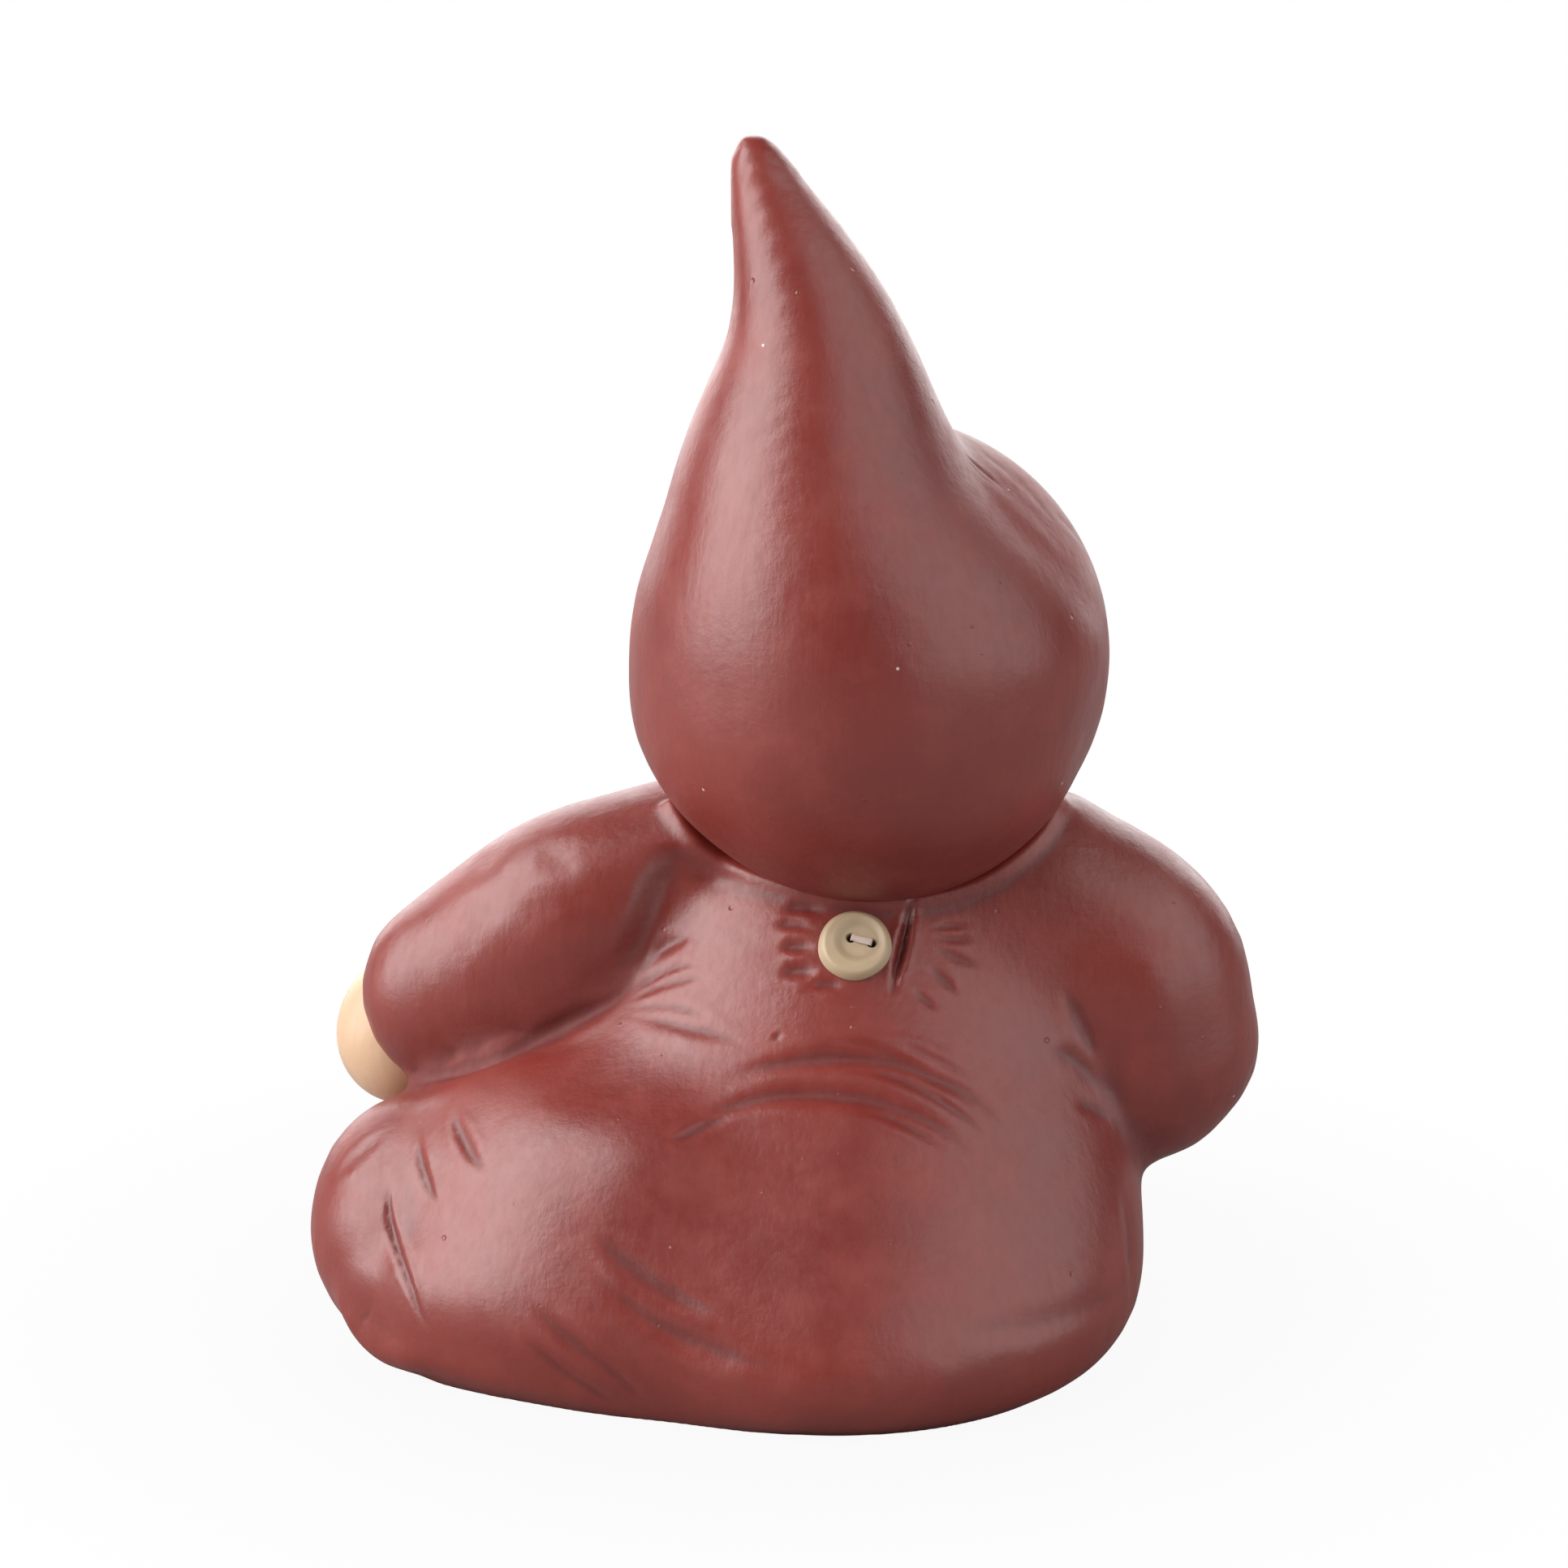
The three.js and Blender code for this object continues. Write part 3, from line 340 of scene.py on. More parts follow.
class Skin:
    """A mesh of quads that is smoothed and modelled point by point. Millimetres."""

    def __init__(self, points, faces, tags=None):
        self.points = points
        self.faces = faces
        self.tags = tags
        pairs = np.vstack([faces[:, [0, 1]], faces[:, [1, 2]], faces[:, [2, 3]], faces[:, [3, 0]]])
        self.pairs = np.unique(np.sort(pairs, axis=1), axis=0)
        self.count = np.bincount(self.pairs.ravel(), minlength=len(points)).astype(float)

    def mean_of_neighbours(self, values):
        a, b = self.pairs.T
        n = len(self.points)
        total = [np.bincount(a, v[b], n) + np.bincount(b, v[a], n) for v in values.T]
        return np.stack(total, axis=1) / self.count[:, None]

    def smooth(self, steps, weight=1.0, forth=0.6, back=0.58):
        """Evens the surface. Weight, one number or one for each point, says how much."""
        weight = np.broadcast_to(weight, len(self.points))[:, None]
        for _ in range(steps):
            move = self.mean_of_neighbours(self.points) - self.points
            self.points = self.points + forth * weight * move
            if back:
                move = self.mean_of_neighbours(self.points) - self.points
                self.points = self.points - back * weight * move

    def refined(self, levels):
        """The same skin with each face divided smoothly."""
        obj = mesh_object("raw", self.points, self.faces)
        if self.tags is not None:
            tag = obj.data.attributes.new("tag", "INT", "FACE")
            tag.data.foreach_set("value", self.tags.astype(np.int32))
        change = obj.modifiers.new("finer", "SUBSURF")
        change.levels = change.render_levels = levels
        return Skin(*evaluated(obj, "tag" if self.tags is not None else None))

    def normals(self):
        p = self.points[self.faces]
        face = np.cross(p[:, 2] - p[:, 0], p[:, 3] - p[:, 1])
        n = len(self.points)
        out = np.zeros((n, 3))
        for corner in range(4):
            for k in range(3):
                out[:, k] += np.bincount(self.faces[:, corner], face[:, k], n)
        return out / np.maximum(np.linalg.norm(out, axis=1), 1e-12)[:, None]

    def tree(self):
        return BVHTree.FromPolygons(self.points.tolist(), self.faces.tolist())


# The head's own frame.

FACE_TURN = math.radians(-14)
FACE_EDGE = 20.6
FACE_DOME = 5.4
FACE_DROP = -1.0
FACE_HALF_WIDTH = 15.4
FACE_HALF_HEIGHT = 16.6
TURN = np.array(Matrix.Rotation(FACE_TURN, 3, "Z"))


def from_face(points):
    """Measured places of points of the face: across, out along its look, up."""
    points = np.asarray(points, float)
    local = np.stack([points[..., 0], -points[..., 1], points[..., 2]], axis=-1)
    return local @ TURN.T + HEAD_CENTRE


def to_face(points):
    """Across, out along the look of the face, and up, of measured places."""
    local = (np.asarray(points, float) - HEAD_CENTRE) @ TURN
    return np.stack([local[..., 0], -local[..., 1], local[..., 2]], axis=-1)


# Garment and hood, plain.

COARSE = 1.6
FINER = 2
HOOD_COARSE = 1.2
COLLAR_CENTRE = HEAD_CENTRE + [0, 1.6, 0]
# The rim of the garment goes round the head: a direction from it, stand-off and half thickness.
COLLAR_LINE = [
    [0, 7, -26.6, 0, 1], [6, 7.6, -25.2, 0.3, 1.3], [12, 7.2, -23, 0.7, 1.5], [17, 5, -19.8, 0.6, 1.4],
    [19, 3, -18, 0.6, 1.3], [20, -5, -17, 0.9, 1.5], [13, -14, -19.5, 0.9, 1.5], [0, -17, -21, 0.9, 1.5],
    [-13, -14, -19.5, 0.9, 1.5], [-20, -5, -17, 0.9, 1.4], [-19, 3, -18.5, 0.6, 1.4],
    [-12, 7.2, -23.4, 0.3, 1.3], [-6, 7.6, -25.6, 0.1, 1.1],
]


def collar_rows():
    """The collar's centre line and half thickness, closed, with eight steps a station."""
    rows = np.array(COLLAR_LINE + COLLAR_LINE[:3], float)
    rows = through_rows(rows, np.arange(1, len(COLLAR_LINE) + 1, 1 / 8))
    ways = rows[:, :3] / np.linalg.norm(rows[:, :3], axis=1)[:, None]
    return COLLAR_CENTRE + ways * (HEAD_RADIUS + rows[:, 3:4]), rows[:, 4]


def deepened(sections, depth):
    """Level sections carried on below the floor, so that the bottom edge stays full."""
    first = sections[0]
    return [[-depth, *first[1:3], *(reach - depth for reach in first[3:])], *sections]


garment_forms = {
    "body": [level_surface(deepened(BODY_SECTIONS, 3))],
    "left_sleeve": [
        limb_surface(LEFT_ARM, domes=(1, 0.25)),
        ball_surface(LEFT_ELBOW[:3], LEFT_ELBOW[3:]),
        limb_surface(LEFT_SLEEVE_SAG),
    ],
    "right_sleeve": [limb_surface(RIGHT_UPPER_ARM), limb_surface(RIGHT_FOREARM, domes=(1, 0.25))],
    "left_trouser_leg": [
        limb_surface(LEFT_THIGH, THIGH_ROUNDNESS),
        limb_surface(LEFT_LAP),
        limb_surface(LEFT_HAUNCH, SEAT_SQUARENESS),
        limb_surface(LEFT_SHIN, domes=(1, 0.25)),
    ],
    "right_trouser_leg": [limb_surface(RIGHT_THIGH), limb_surface(RIGHT_SHIN, domes=(1, 0.2))],
    "collar_band": [loop_surface(*collar_rows())],
}
GARMENT_NODES = list(garment_forms)
# The left leg is cut from the seat along an upright plane, square to a direction.
HIP_DIRECTION = math.radians(-32)
HIP_JOINT = 20.0
HIP_TOP = 44.0


def near(points, places, gain=1.6):
    """From 0 to 1, how near each point is to any of some balls: x, y, z, radius, strength."""
    out = np.zeros(len(points))
    for x, y, z, radius, strength in places:
        d = np.linalg.norm(points - [x, y, z], axis=1) / radius
        out = np.maximum(out, strength * gain * eased(1 - d))
    return np.clip(out, 0, 1)


def node_of_faces(skin, forms):
    """For each face, the number of the node whose form lies nearest."""
    middle = skin.points[skin.faces].mean(axis=1)
    far = []
    for surfaces in forms.values():
        points, faces = joined(surfaces)
        tree = BVHTree.FromPolygons(points.tolist(), faces)
        far.append([tree.find_nearest(Vector(m))[3] for m in middle])
    found = np.argmin(np.array(far), axis=0)
    body, leg = GARMENT_NODES.index("body"), GARMENT_NODES.index("left_trouser_leg")
    out = middle[:, 0] * math.cos(HIP_DIRECTION) + middle[:, 1] * math.sin(HIP_DIRECTION)
    seat = (found == body) | (found == leg)
    low = middle[:, 2] < HIP_TOP
    return np.where(seat, np.where((out > HIP_JOINT) & low, leg, body), found)


# Where forms run into each other softly: x, y, z, radius, strength.
SOFT_PLACES = [
    [-27, 12, 50, 20, 1], [-33, 10, 40, 10, 0.4], [10, 28, 22, 26, 1], [20, 28, 6, 24, 1],
    [8, 16, 36, 14, 0.8], [20, 15, 34, 10, 0.7], [44, 14, 3, 10, 0.35], [30, 16, 22, 14, 0.6],
]
# Where the rim of the garment runs out into the back.
RIM_PLACES = [
    [-9.9, 10, 53, 10, 0.8], [-24, 10, 60, 12, 0.8], [11.5, 6, 61.5, 7, 0.9],
]
# The rim of the collar is too fine for the coarse skin: it is raised on it further down.
cloth = [s for node, group in garment_forms.items() if node != "collar_band" for s in group]
garment = remeshed(cloth, COARSE)
garment.smooth(5)
garment.smooth(60, near(garment.points, SOFT_PLACES), back=0)
garment.smooth(6, near(garment.points, RIM_PLACES), back=0)
garment.tags = node_of_faces(garment, garment_forms)
garment = garment.refined(FINER)
garment.smooth(6)

head = ball_surface(HEAD_CENTRE, [HEAD_RADIUS] * 3)
hood = remeshed([level_surface(HOOD_SECTIONS), head], HOOD_COARSE)
hood.smooth(8)
hood = hood.refined(FINER)
hood.smooth(6)

# Modelling by strokes.

# A stroke changes points within its reach, is narrower at its ends, and has its ridges beside
# it: all in half widths of the stroke. Rays from the front start at a y well in front.
REACH = 4.5
END_WIDTH = 0.55
RIDGE_AT = 2.0
IN_FRONT = -150.0
SHORTEST = 1e-6


def cast(tree, pixels, per_span=5):
    """Where the rays through a line of the photograph's pixels meet a skin."""
    hits = [tree.ray_cast(Vector(EYE), Vector(pixel_ray(*p)))[0] for p in steps_through(pixels, per_span)]
    return np.array([hit for hit in hits if hit is not None])


def cast_forward(tree, places, per_span=6):
    """Where lines from the front meet a skin, through places given as x and z."""
    way = Vector((0.0, 1.0, 0.0))
    hits = [tree.ray_cast(Vector((x, IN_FRONT, z)), way)[0] for x, z in steps_through(places, per_span)]
    return np.array([hit for hit in hits if hit is not None])


def seen_at(points):
    """The pixels of the photograph at which points are seen."""
    way = points - EYE
    depth = way @ FORWARD
    px = PHOTO / 2 + FOCAL * (way @ PICTURE_RIGHT) / depth
    return px, PHOTO / 2 - FOCAL * (way @ PICTURE_UP) / depth


def carve(skin, normals, line, width, depth, left=0.0, right=0.0, steep=2.0, blunt=0.35):
    """A groove along a line, with a ridge to the left and to the right of it as it is drawn.

    A negative depth raises a ridge. Blunt is the share of the line over which each end fades.
    """
    low, high = line.min(axis=0) - width * REACH, line.max(axis=0) + width * REACH
    close = np.where(np.all((skin.points > low) & (skin.points < high), axis=1))[0]
    if not len(close):
        return
    p, n = skin.points[close], normals[close]
    best = np.full(len(p), np.inf)
    share, side = np.zeros(len(p)), np.zeros(len(p))
    lengths = np.linalg.norm(np.diff(line, axis=0), axis=1)
    start, total = 0.0, lengths.sum()
    for a, b, length in zip(line[:-1], line[1:], lengths):
        if length < SHORTEST:
            continue
        along = (b - a) / length
        t = np.clip((p - a) @ along, 0, length)
        off = p - a - t[:, None] * along
        d = np.linalg.norm(off, axis=1)
        nearer = d < best
        best = np.where(nearer, d, best)
        share = np.where(nearer, (start + t) / total, share)
        side = np.where(nearer, np.sign((np.cross(n, along) * off).sum(axis=1)), side)
        start += length
    taper = eased(np.minimum(share, 1 - share) / blunt)
    q = best * side / (width * (END_WIDTH + (1 - END_WIDTH) * taper))
    height = left * bell(q - RIDGE_AT) + right * bell(q + RIDGE_AT) - depth * np.exp(-np.abs(q) ** steep)
    skin.points[close] += n * (height * taper)[:, None]


def draw(skin, strokes, strength=1.0):
    """Strokes over the photograph: width, depth, left ridge, right ridge, end fade, pixels."""
    normals, tree = skin.normals(), skin.tree()
    for width, depth, left, right, blunt, pixels in strokes:
        line = cast(tree, pixels)
        if len(line) > 1:
            carve(skin, normals, line, width, depth * strength, left, right, blunt=blunt)


# Beside the left sleeve the back slopes away, down to the foot of the sleeve's wall.
# Each row: picture height, foot of the wall, open side of the slope, depth in millimetres.
SLOPE = np.array([
    [1040, 838, 915, 0], [1062, 834, 912, 0.8], [1085, 828, 908, 1.5], [1110, 820, 886, 1.5],
    [1140, 810, 858, 1.1], [1170, 799, 838, 0.7], [1200, 788, 820, 0],
])
SLOPE_BEND = 1.15
# The wall starts so many pixels before its foot.
WALL_RUN = 46
# The slope lies behind this y and above this height.
FRONT_OF_BACK = -2
LOW_OF_BACK = 40
px, py = seen_at(garment.points)
foot, open_side, deep = (np.interp(py, SLOPE[:, 0], SLOPE[:, k]) for k in (1, 2, 3))
ramp = np.clip((open_side - px) / (open_side - foot), 0, 1) ** SLOPE_BEND
push = deep * ramp * eased((px - foot + WALL_RUN) / WALL_RUN)
push[(garment.points[:, 1] < FRONT_OF_BACK) | (garment.points[:, 2] < LOW_OF_BACK)] = 0.0
garment.points[:, 1] -= push
# The slope and the wall run into each other softly: x, y, z, radius, strength.
SOFT_VALLEY = [[13, 4, 53, 7, 1.0]]
garment.smooth(10, near(garment.points, SOFT_VALLEY), back=0.0)

# Large soft forms first: valleys and swellings. Each row is a stroke, as draw takes it.
GARMENT_FORMS = [
    # under the left sleeve
    (1.1, 0.95, 0, 0.08, 0.3, [(498, 1339), (560, 1321), (620, 1299), (700, 1260), (755, 1233), (790, 1205)]),
    # the hollow outside the rim of the collar
    (1.7, 0.3, 0, 0, 0.45, [(828, 1042), (850, 1070), (886, 1092), (940, 1110)]),
    # the back bulges over the seat
    (4, 0.5, 0, 0, 0.5, [(880, 1340), (980, 1322), (1080, 1330), (1180, 1375)]),
    # the flank of the seat, that turns towards the light up to here
    (8, -1.1, 0, 0, 0.5, [(835, 1300), (810, 1380), (775, 1460), (735, 1540)]),
    # a dent of the left sleeve
    (2, 0.2, 0, 0, 0.5, [(583, 1046), (600, 1058), (622, 1072)]),
    # the base is full down to the shelf, and most of all at its left corner
    (3, -0.55, 0, 0, 0.35, [(430, 1628), (480, 1662), (560, 1690), (640, 1710), (740, 1733),
        (850, 1748), (960, 1755), (1050, 1753)]),
    (3.2, -1.6, 0, 0, 0.5, [(408, 1590), (430, 1620), (452, 1643), (478, 1660), (508, 1676), (546, 1690)]),
    # more dents of the left sleeve
    (1.8, 0.22, 0, 0.05, 0.5, [(655, 1040), (690, 1062), (708, 1095)]),
    (1.6, 0.2, 0.1, 0, 0.5, [(560, 1110), (600, 1122), (650, 1130)]),
    (1.5, 0.3, 0, 0, 0.5, [(478, 1128), (492, 1118), (512, 1106)]),
]
# Folds, gathers and creases.
GARMENT_STROKES = [
    # two long folds across the back
    (1.1, 0.46, 0.07, 0.07, 0.4, [(885, 1332), (930, 1317), (975, 1309), (1010, 1305), (1045, 1304),
        (1080, 1307), (1120, 1317), (1160, 1332), (1190, 1347), (1220, 1370), (1255, 1412)]),
    (1.1, 0.46, 0.07, 0.07, 0.4, [(838, 1395), (865, 1380), (895, 1366), (930, 1355), (960, 1350),
        (995, 1349), (1030, 1351), (1070, 1357), (1110, 1370), (1150, 1387), (1180, 1405), (1224, 1438)]),
    (0.55, 0.22, 0.07, 0.03, 0.4, [(812, 1408), (845, 1400), (875, 1386), (912, 1372)]),
    (0.55, 0.24, 0.07, 0.06, 0.4, [(1040, 1318), (1090, 1325), (1140, 1345), (1190, 1378), (1225, 1410)]),
    (0.55, 0.22, 0.07, 0.06, 0.4, [(1050, 1364), (1100, 1380), (1140, 1400), (1178, 1425)]),
    (0.61, 0.21, 0.07, 0.03, 0.4, [(1075, 1282), (1120, 1292), (1160, 1310), (1190, 1325), (1218, 1347)]),
    (0.61, 0.15, 0.03, 0.03, 0.4, [(1000, 1282), (1060, 1286), (1110, 1303), (1160, 1327)]),
    # rays from the left armpit
    (0.73, 0.22, 0.04, 0.06, 0.4, [(800, 1180), (825, 1164), (858, 1153)]),
    (0.67, 0.24, 0.07, 0.04, 0.4, [(772, 1230), (790, 1215), (815, 1200), (840, 1190), (868, 1189)]),
    (0.61, 0.22, 0.06, 0.04, 0.4, [(770, 1237), (795, 1223), (820, 1212), (850, 1205), (878, 1206)]),
    (0.67, 0.24, 0.06, 0.06, 0.4, [(765, 1243), (800, 1240), (835, 1242), (870, 1254), (893, 1266)]),
    (0.85, 0.27, 0.07, 0.07, 0.4, [(765, 1247), (810, 1256), (850, 1266), (890, 1277), (928, 1290)]),
    # gathers left of the button
    (0.76, 0.25, 0.06, 0.08, 0.4, [(956, 1126), (978, 1120), (1006, 1121), (1020, 1130)]),
    (0.67, 0.22, 0.04, 0.08, 0.4, [(950, 1142), (975, 1138), (1006, 1145)]),
    (0.76, 0.33, 0.06, 0.08, 0.4, [(958, 1173), (975, 1166), (1006, 1170)]),
    (0.85, 0.31, 0.07, 0.08, 0.4, [(958, 1204), (980, 1196), (1010, 1198)]),
    (0.67, 0.22, 0.04, 0.07, 0.4, [(998, 1218), (1018, 1213), (1042, 1216)]),
    # rays right of the slit
    (0.39, 0.15, 0.04, 0.04, 0.45, [(1142, 1145), (1165, 1142), (1200, 1141)]),
    (0.44, 0.15, 0.04, 0.04, 0.45, [(1144, 1154), (1170, 1157), (1207, 1160)]),
    (0.49, 0.18, 0.04, 0.04, 0.45, [(1144, 1165), (1175, 1179), (1214, 1196)]),
    (0.56, 0.21, 0.06, 0.06, 0.45, [(1140, 1189), (1160, 1205), (1184, 1230)]),
    (0.49, 0.18, 0.04, 0.04, 0.45, [(1121, 1216), (1140, 1232), (1160, 1249)]),
    # right armpit
    (1.1, 0.31, 0.02, 0.07, 0.4, [(1308, 1212), (1325, 1243), (1340, 1275), (1352, 1315)]),
    (1.04, 0.27, 0.06, 0.02, 0.4, [(1288, 1288), (1325, 1308), (1354, 1345)]),
    (0.85, 0.21, 0.03, 0.02, 0.4, [(1320, 1362), (1345, 1366), (1372, 1380)]),
    # left knee and thigh
    (0.55, 0.48, 0.2, 0.05, 0.4, [(481, 1445), (479, 1487), (484, 1520), (495, 1557), (507, 1590),
        (517, 1617), (534, 1650)]),
    (1.3, -0.22, 0, 0, 0.4, [(490, 1412), (489, 1450), (492, 1490), (500, 1540)]),
    (0.67, 0.37, 0.15, 0.06, 0.4, [(514, 1402), (519, 1435), (529, 1465), (541, 1488)]),
    (1.0, -0.14, 0, 0, 0.4, [(520, 1380), (528, 1410), (540, 1445)]),
    (0.79, 0.41, 0.14, 0.07, 0.45, [(555, 1362), (563, 1387), (574, 1410), (585, 1429), (606, 1450)]),
    (0.98, 0.15, 0.07, 0.07, 0.4, [(482, 1388), (443, 1422), (410, 1450)]),
    # folds at the lower left
    (1.22, 0.41, 0.15, 0.11, 0.4, [(728, 1512), (760, 1545), (820, 1590), (895, 1628)]),
    (1.22, 0.33, 0.14, 0.11, 0.4, [(712, 1550), (760, 1592), (830, 1640), (900, 1670), (990, 1702)]),
    (1.1, 0.3, 0.11, 0.1, 0.4, [(645, 1598), (700, 1650), (760, 1698), (806, 1738)]),
    (0.98, 0.21, 0.08, 0.07, 0.4, [(636, 1640), (700, 1695), (780, 1746)]),
    # right flank
    (1.46, 0.21, 0.11, 0.07, 0.4, [(1140, 1642), (1230, 1636), (1320, 1620), (1402, 1578)]),
    (1.34, 0.22, 0, 0.11, 0.4, [(1380, 1450), (1392, 1520), (1394, 1600)]),
    # a nick in the middle of the back
    (0.37, 0.26, 0, 0, 0.5, [(954, 1274), (957, 1277), (960, 1281)]),
]
FOLD_STRENGTH = 1.08
# The slit: its pixels; then width, depth, left and right ridge.
SLIT = [(1127, 1098), (1121, 1125), (1112, 1165), (1104, 1200), (1099, 1234)]
SLIT_SHAPE = (0.5, 1.1, 0.1, 0.20)

# The rim of the collar: along the photograph's line behind, and round the neck in front.
RIM_BEHIND = [(822, 984), (834, 1008), (852, 1034), (878, 1056), (910, 1073), (955, 1089), (1010, 1101),
    (1070, 1109), (1120, 1110), (1180, 1098), (1235, 1072), (1280, 1034), (1306, 990)]
RIM_WIDTH, RIM_HEIGHT = 1.05, 0.85
FRONT_OF_NECK = 2
rim_line = cast(garment.tree(), RIM_BEHIND)
front_line = collar_rows()[0]
front_line = front_line[front_line[:, 1] < HEAD_CENTRE[1] - FRONT_OF_NECK]
front_line = front_line[np.argsort(front_line[:, 0])]
rim_line = np.vstack([rim_line, front_line, rim_line[:1]])
carve(garment, garment.normals(), rim_line, RIM_WIDTH, -RIM_HEIGHT, blunt=0.01)

draw(garment, GARMENT_FORMS)
draw(garment, GARMENT_STROKES, FOLD_STRENGTH)
slit_line = cast(garment.tree(), SLIT)
carve(garment, garment.normals(), slit_line, *SLIT_SHAPE, steep=2.6, blunt=0.45)
# Creases in front: under the left sleeve, above the folded shin, beside the raised knee.
# Width, depth, places as x and z.
FRONT_CREASES = [
    (0.9, 0.55, [(7.5, 43), (17.6, 37.4), (26.6, 32.4), (33, 29.4)]),
    (0.9, 0.45, [(10, 16.6), (18, 18.8), (26, 21.4), (32, 24.2)]),
    (0.9, 0.45, [(-14.6, 34), (-13.6, 26), (-14.4, 18), (-16, 11)]),
]
CREASE_RIDGE = 0.06
front_tree, front_normals = garment.tree(), garment.normals()
for width, depth, places in FRONT_CREASES:
    crease = cast_forward(front_tree, places)
    carve(garment, front_normals, crease, width, depth, CREASE_RIDGE, CREASE_RIDGE, blunt=0.4)
garment.points[:, 2] = np.maximum(garment.points[:, 2], 0)

# The hood: the crease over the head, wrinkles beside it.
HOOD_STROKES = [
    (0.36, 0.13, 0.02, 0.06, 0.4, [(1183, 554), (1205, 575), (1222, 590), (1238, 605)]),
    (1.4, -0.12, 0, 0, 0.4, [(1190, 574), (1215, 595), (1240, 619), (1265, 643), (1290, 667), (1316, 696)]),
    (0.8, 0.09, 0.03, 0.03, 0.4, [(1200, 550), (1235, 577), (1272, 614)]),
    (0.9, 0.09, 0.03, 0.03, 0.4, [(1225, 560), (1262, 598), (1304, 650)]),
    (0.9, 0.08, 0.03, 0.03, 0.4, [(1288, 620), (1322, 655), (1344, 688)]),
]
draw(hood, HOOD_STROKES)

# The opening for the face: the oval is pushed in behind the inset, and has a rolled rim.
FACE_SIDE = 8
OPENING_DEPTH = 3.0
OPENING_SIZE = 1.03
OPENING_FADE = 0.05
ROLL_AT = 1.085
ROLL_WIDTH = 0.05
ROLL_HEIGHT = 0.75
across, out, up = to_face(hood.points).T
oval = np.hypot(across / FACE_HALF_WIDTH, (up - FACE_DROP) / FACE_HALF_HEIGHT)
inside = eased((OPENING_SIZE - oval) / OPENING_FADE)
roll = ROLL_HEIGHT * bell(oval - ROLL_AT, ROLL_WIDTH)
pushed = out * (1 - inside) + (FACE_EDGE - OPENING_DEPTH) * inside + roll
hood.points = from_face(np.stack([across, np.where(out > FACE_SIDE, pushed, out), up], axis=-1))

# Paint.


def linear(r, g, b):
    """Linear colour from 0 to 255 screen values."""
    shares = [v / 255 for v in (r, g, b)]
    return (*(v / 12.92 if v <= 0.04045 else ((v + 0.055) / 1.055) ** 2.4 for v in shares), 1.0)


class Tree:
    """The shader nodes of a material or of the world, built node by node."""

    def __init__(self, owner):
        owner.use_nodes = True
        self.nodes = owner.node_tree.nodes
        self.links = owner.node_tree.links

    def set(self, socket, value):
        """Gives a socket a number or a colour, or links another node's output to it."""
        if isinstance(value, bpy.types.NodeSocket):
            self.links.new(value, socket)
        else:
            socket.default_value = value

    def made(self, kind, output, inputs=None, **settings):
        """One output of a new node, with its settings and inputs."""
        node = self.nodes.new("ShaderNode" + kind)
        for key, value in settings.items():
            setattr(node, key, value)
        for key, value in (inputs or {}).items():
            self.set(node.inputs[key], value)
        return node.outputs[output]

    def ranged(self, value, low, high, to_low=0.0, to_high=1.0, **settings):
        """A value from low to high, brought to another range and kept inside it."""
        ends = {"From Min": low, "From Max": high, "To Min": to_low, "To Max": to_high}
        return self.made("MapRange", "Result", {"Value": value, **ends}, **settings)

    def sum(self, operation, a, b):
        return self.made("Math", 0, {0: a, 1: b}, operation=operation)

    def mixed(self, share, a, b):
        """Colour a, turning into colour b with the share."""
        return self.made("Mix", 2, {0: share, 6: a, 7: b}, data_type="RGBA")


class Paint(Tree):
    """A painted surface."""

    def __init__(self, name):
        self.material = bpy.data.materials.new(name)
        super().__init__(self.material)
        self.shader = self.nodes["Principled BSDF"]
        self.place = self.made("TexCoord", "Object")

    def noise(self, size_mm, detail=2.0, rough=0.5, stretch=None, turn=(0, 0, 0)):
        """Noise of a grain size in millimetres, from 0 to 1, longer where the stretch is small."""
        place = self.place
        if stretch:
            place = self.made("Mapping", "Vector", {"Vector": place, "Scale": stretch, "Rotation": turn})
        values = {"Vector": place, "Scale": 1 / (size_mm * MM), "Detail": detail, "Roughness": rough}
        return self.made("TexNoise", "Fac", values)

    def spots(self, size_mm, radius, soft=0.02):
        """Small round spots, one in each cell of a size: 1 in the spot and 0 outside."""
        cells = {"Vector": self.place, "Scale": 1 / (size_mm * MM)}
        return self.ranged(self.made("TexVoronoi", "Distance", cells), radius + soft, radius)

    def attribute(self, name):
        return self.made("Attribute", "Fac", attribute_name=name)

    def bump(self, height, distance_mm, strength=1.0, before=None):
        values = {"Height": height, "Distance": distance_mm * MM, "Strength": strength}
        if before:
            values["Normal"] = before
        return self.made("Bump", "Normal", values)

    def finish(self, colour, roughness, normal=None, level=0.5):
        self.set(self.shader.inputs["Base Color"], colour)
        self.set(self.shader.inputs["Roughness"], roughness)
        if normal:
            self.set(self.shader.inputs["Normal"], normal)
        self.shader.inputs["Specular IOR Level"].default_value = level
        return self.material


# Patterns of the paint: grain size in millimetres, detail, roughness, then stretch and turn.
THICK_PLACES = (26, 3, 0.55)
PATCHES = (6, 3, 0.6)
BRUSH_LINES = (1.0, 4, 0.65, (1.0, 1.0, 0.14), (0.25, 0.15, 0.1))
CROSS_LINES = (0.9, 4, 0.65, (0.14, 1.0, 1.0), (0.1, 0.2, 0.35))
FINE_GRAIN = (0.9, 3, 0.55)
LUMPS = (5, 2, 0.5)
DUSTY_PLACES, PITTED_PLACES, GRAINY_PLACES = (9, 1), (11, 1), (8, 1)
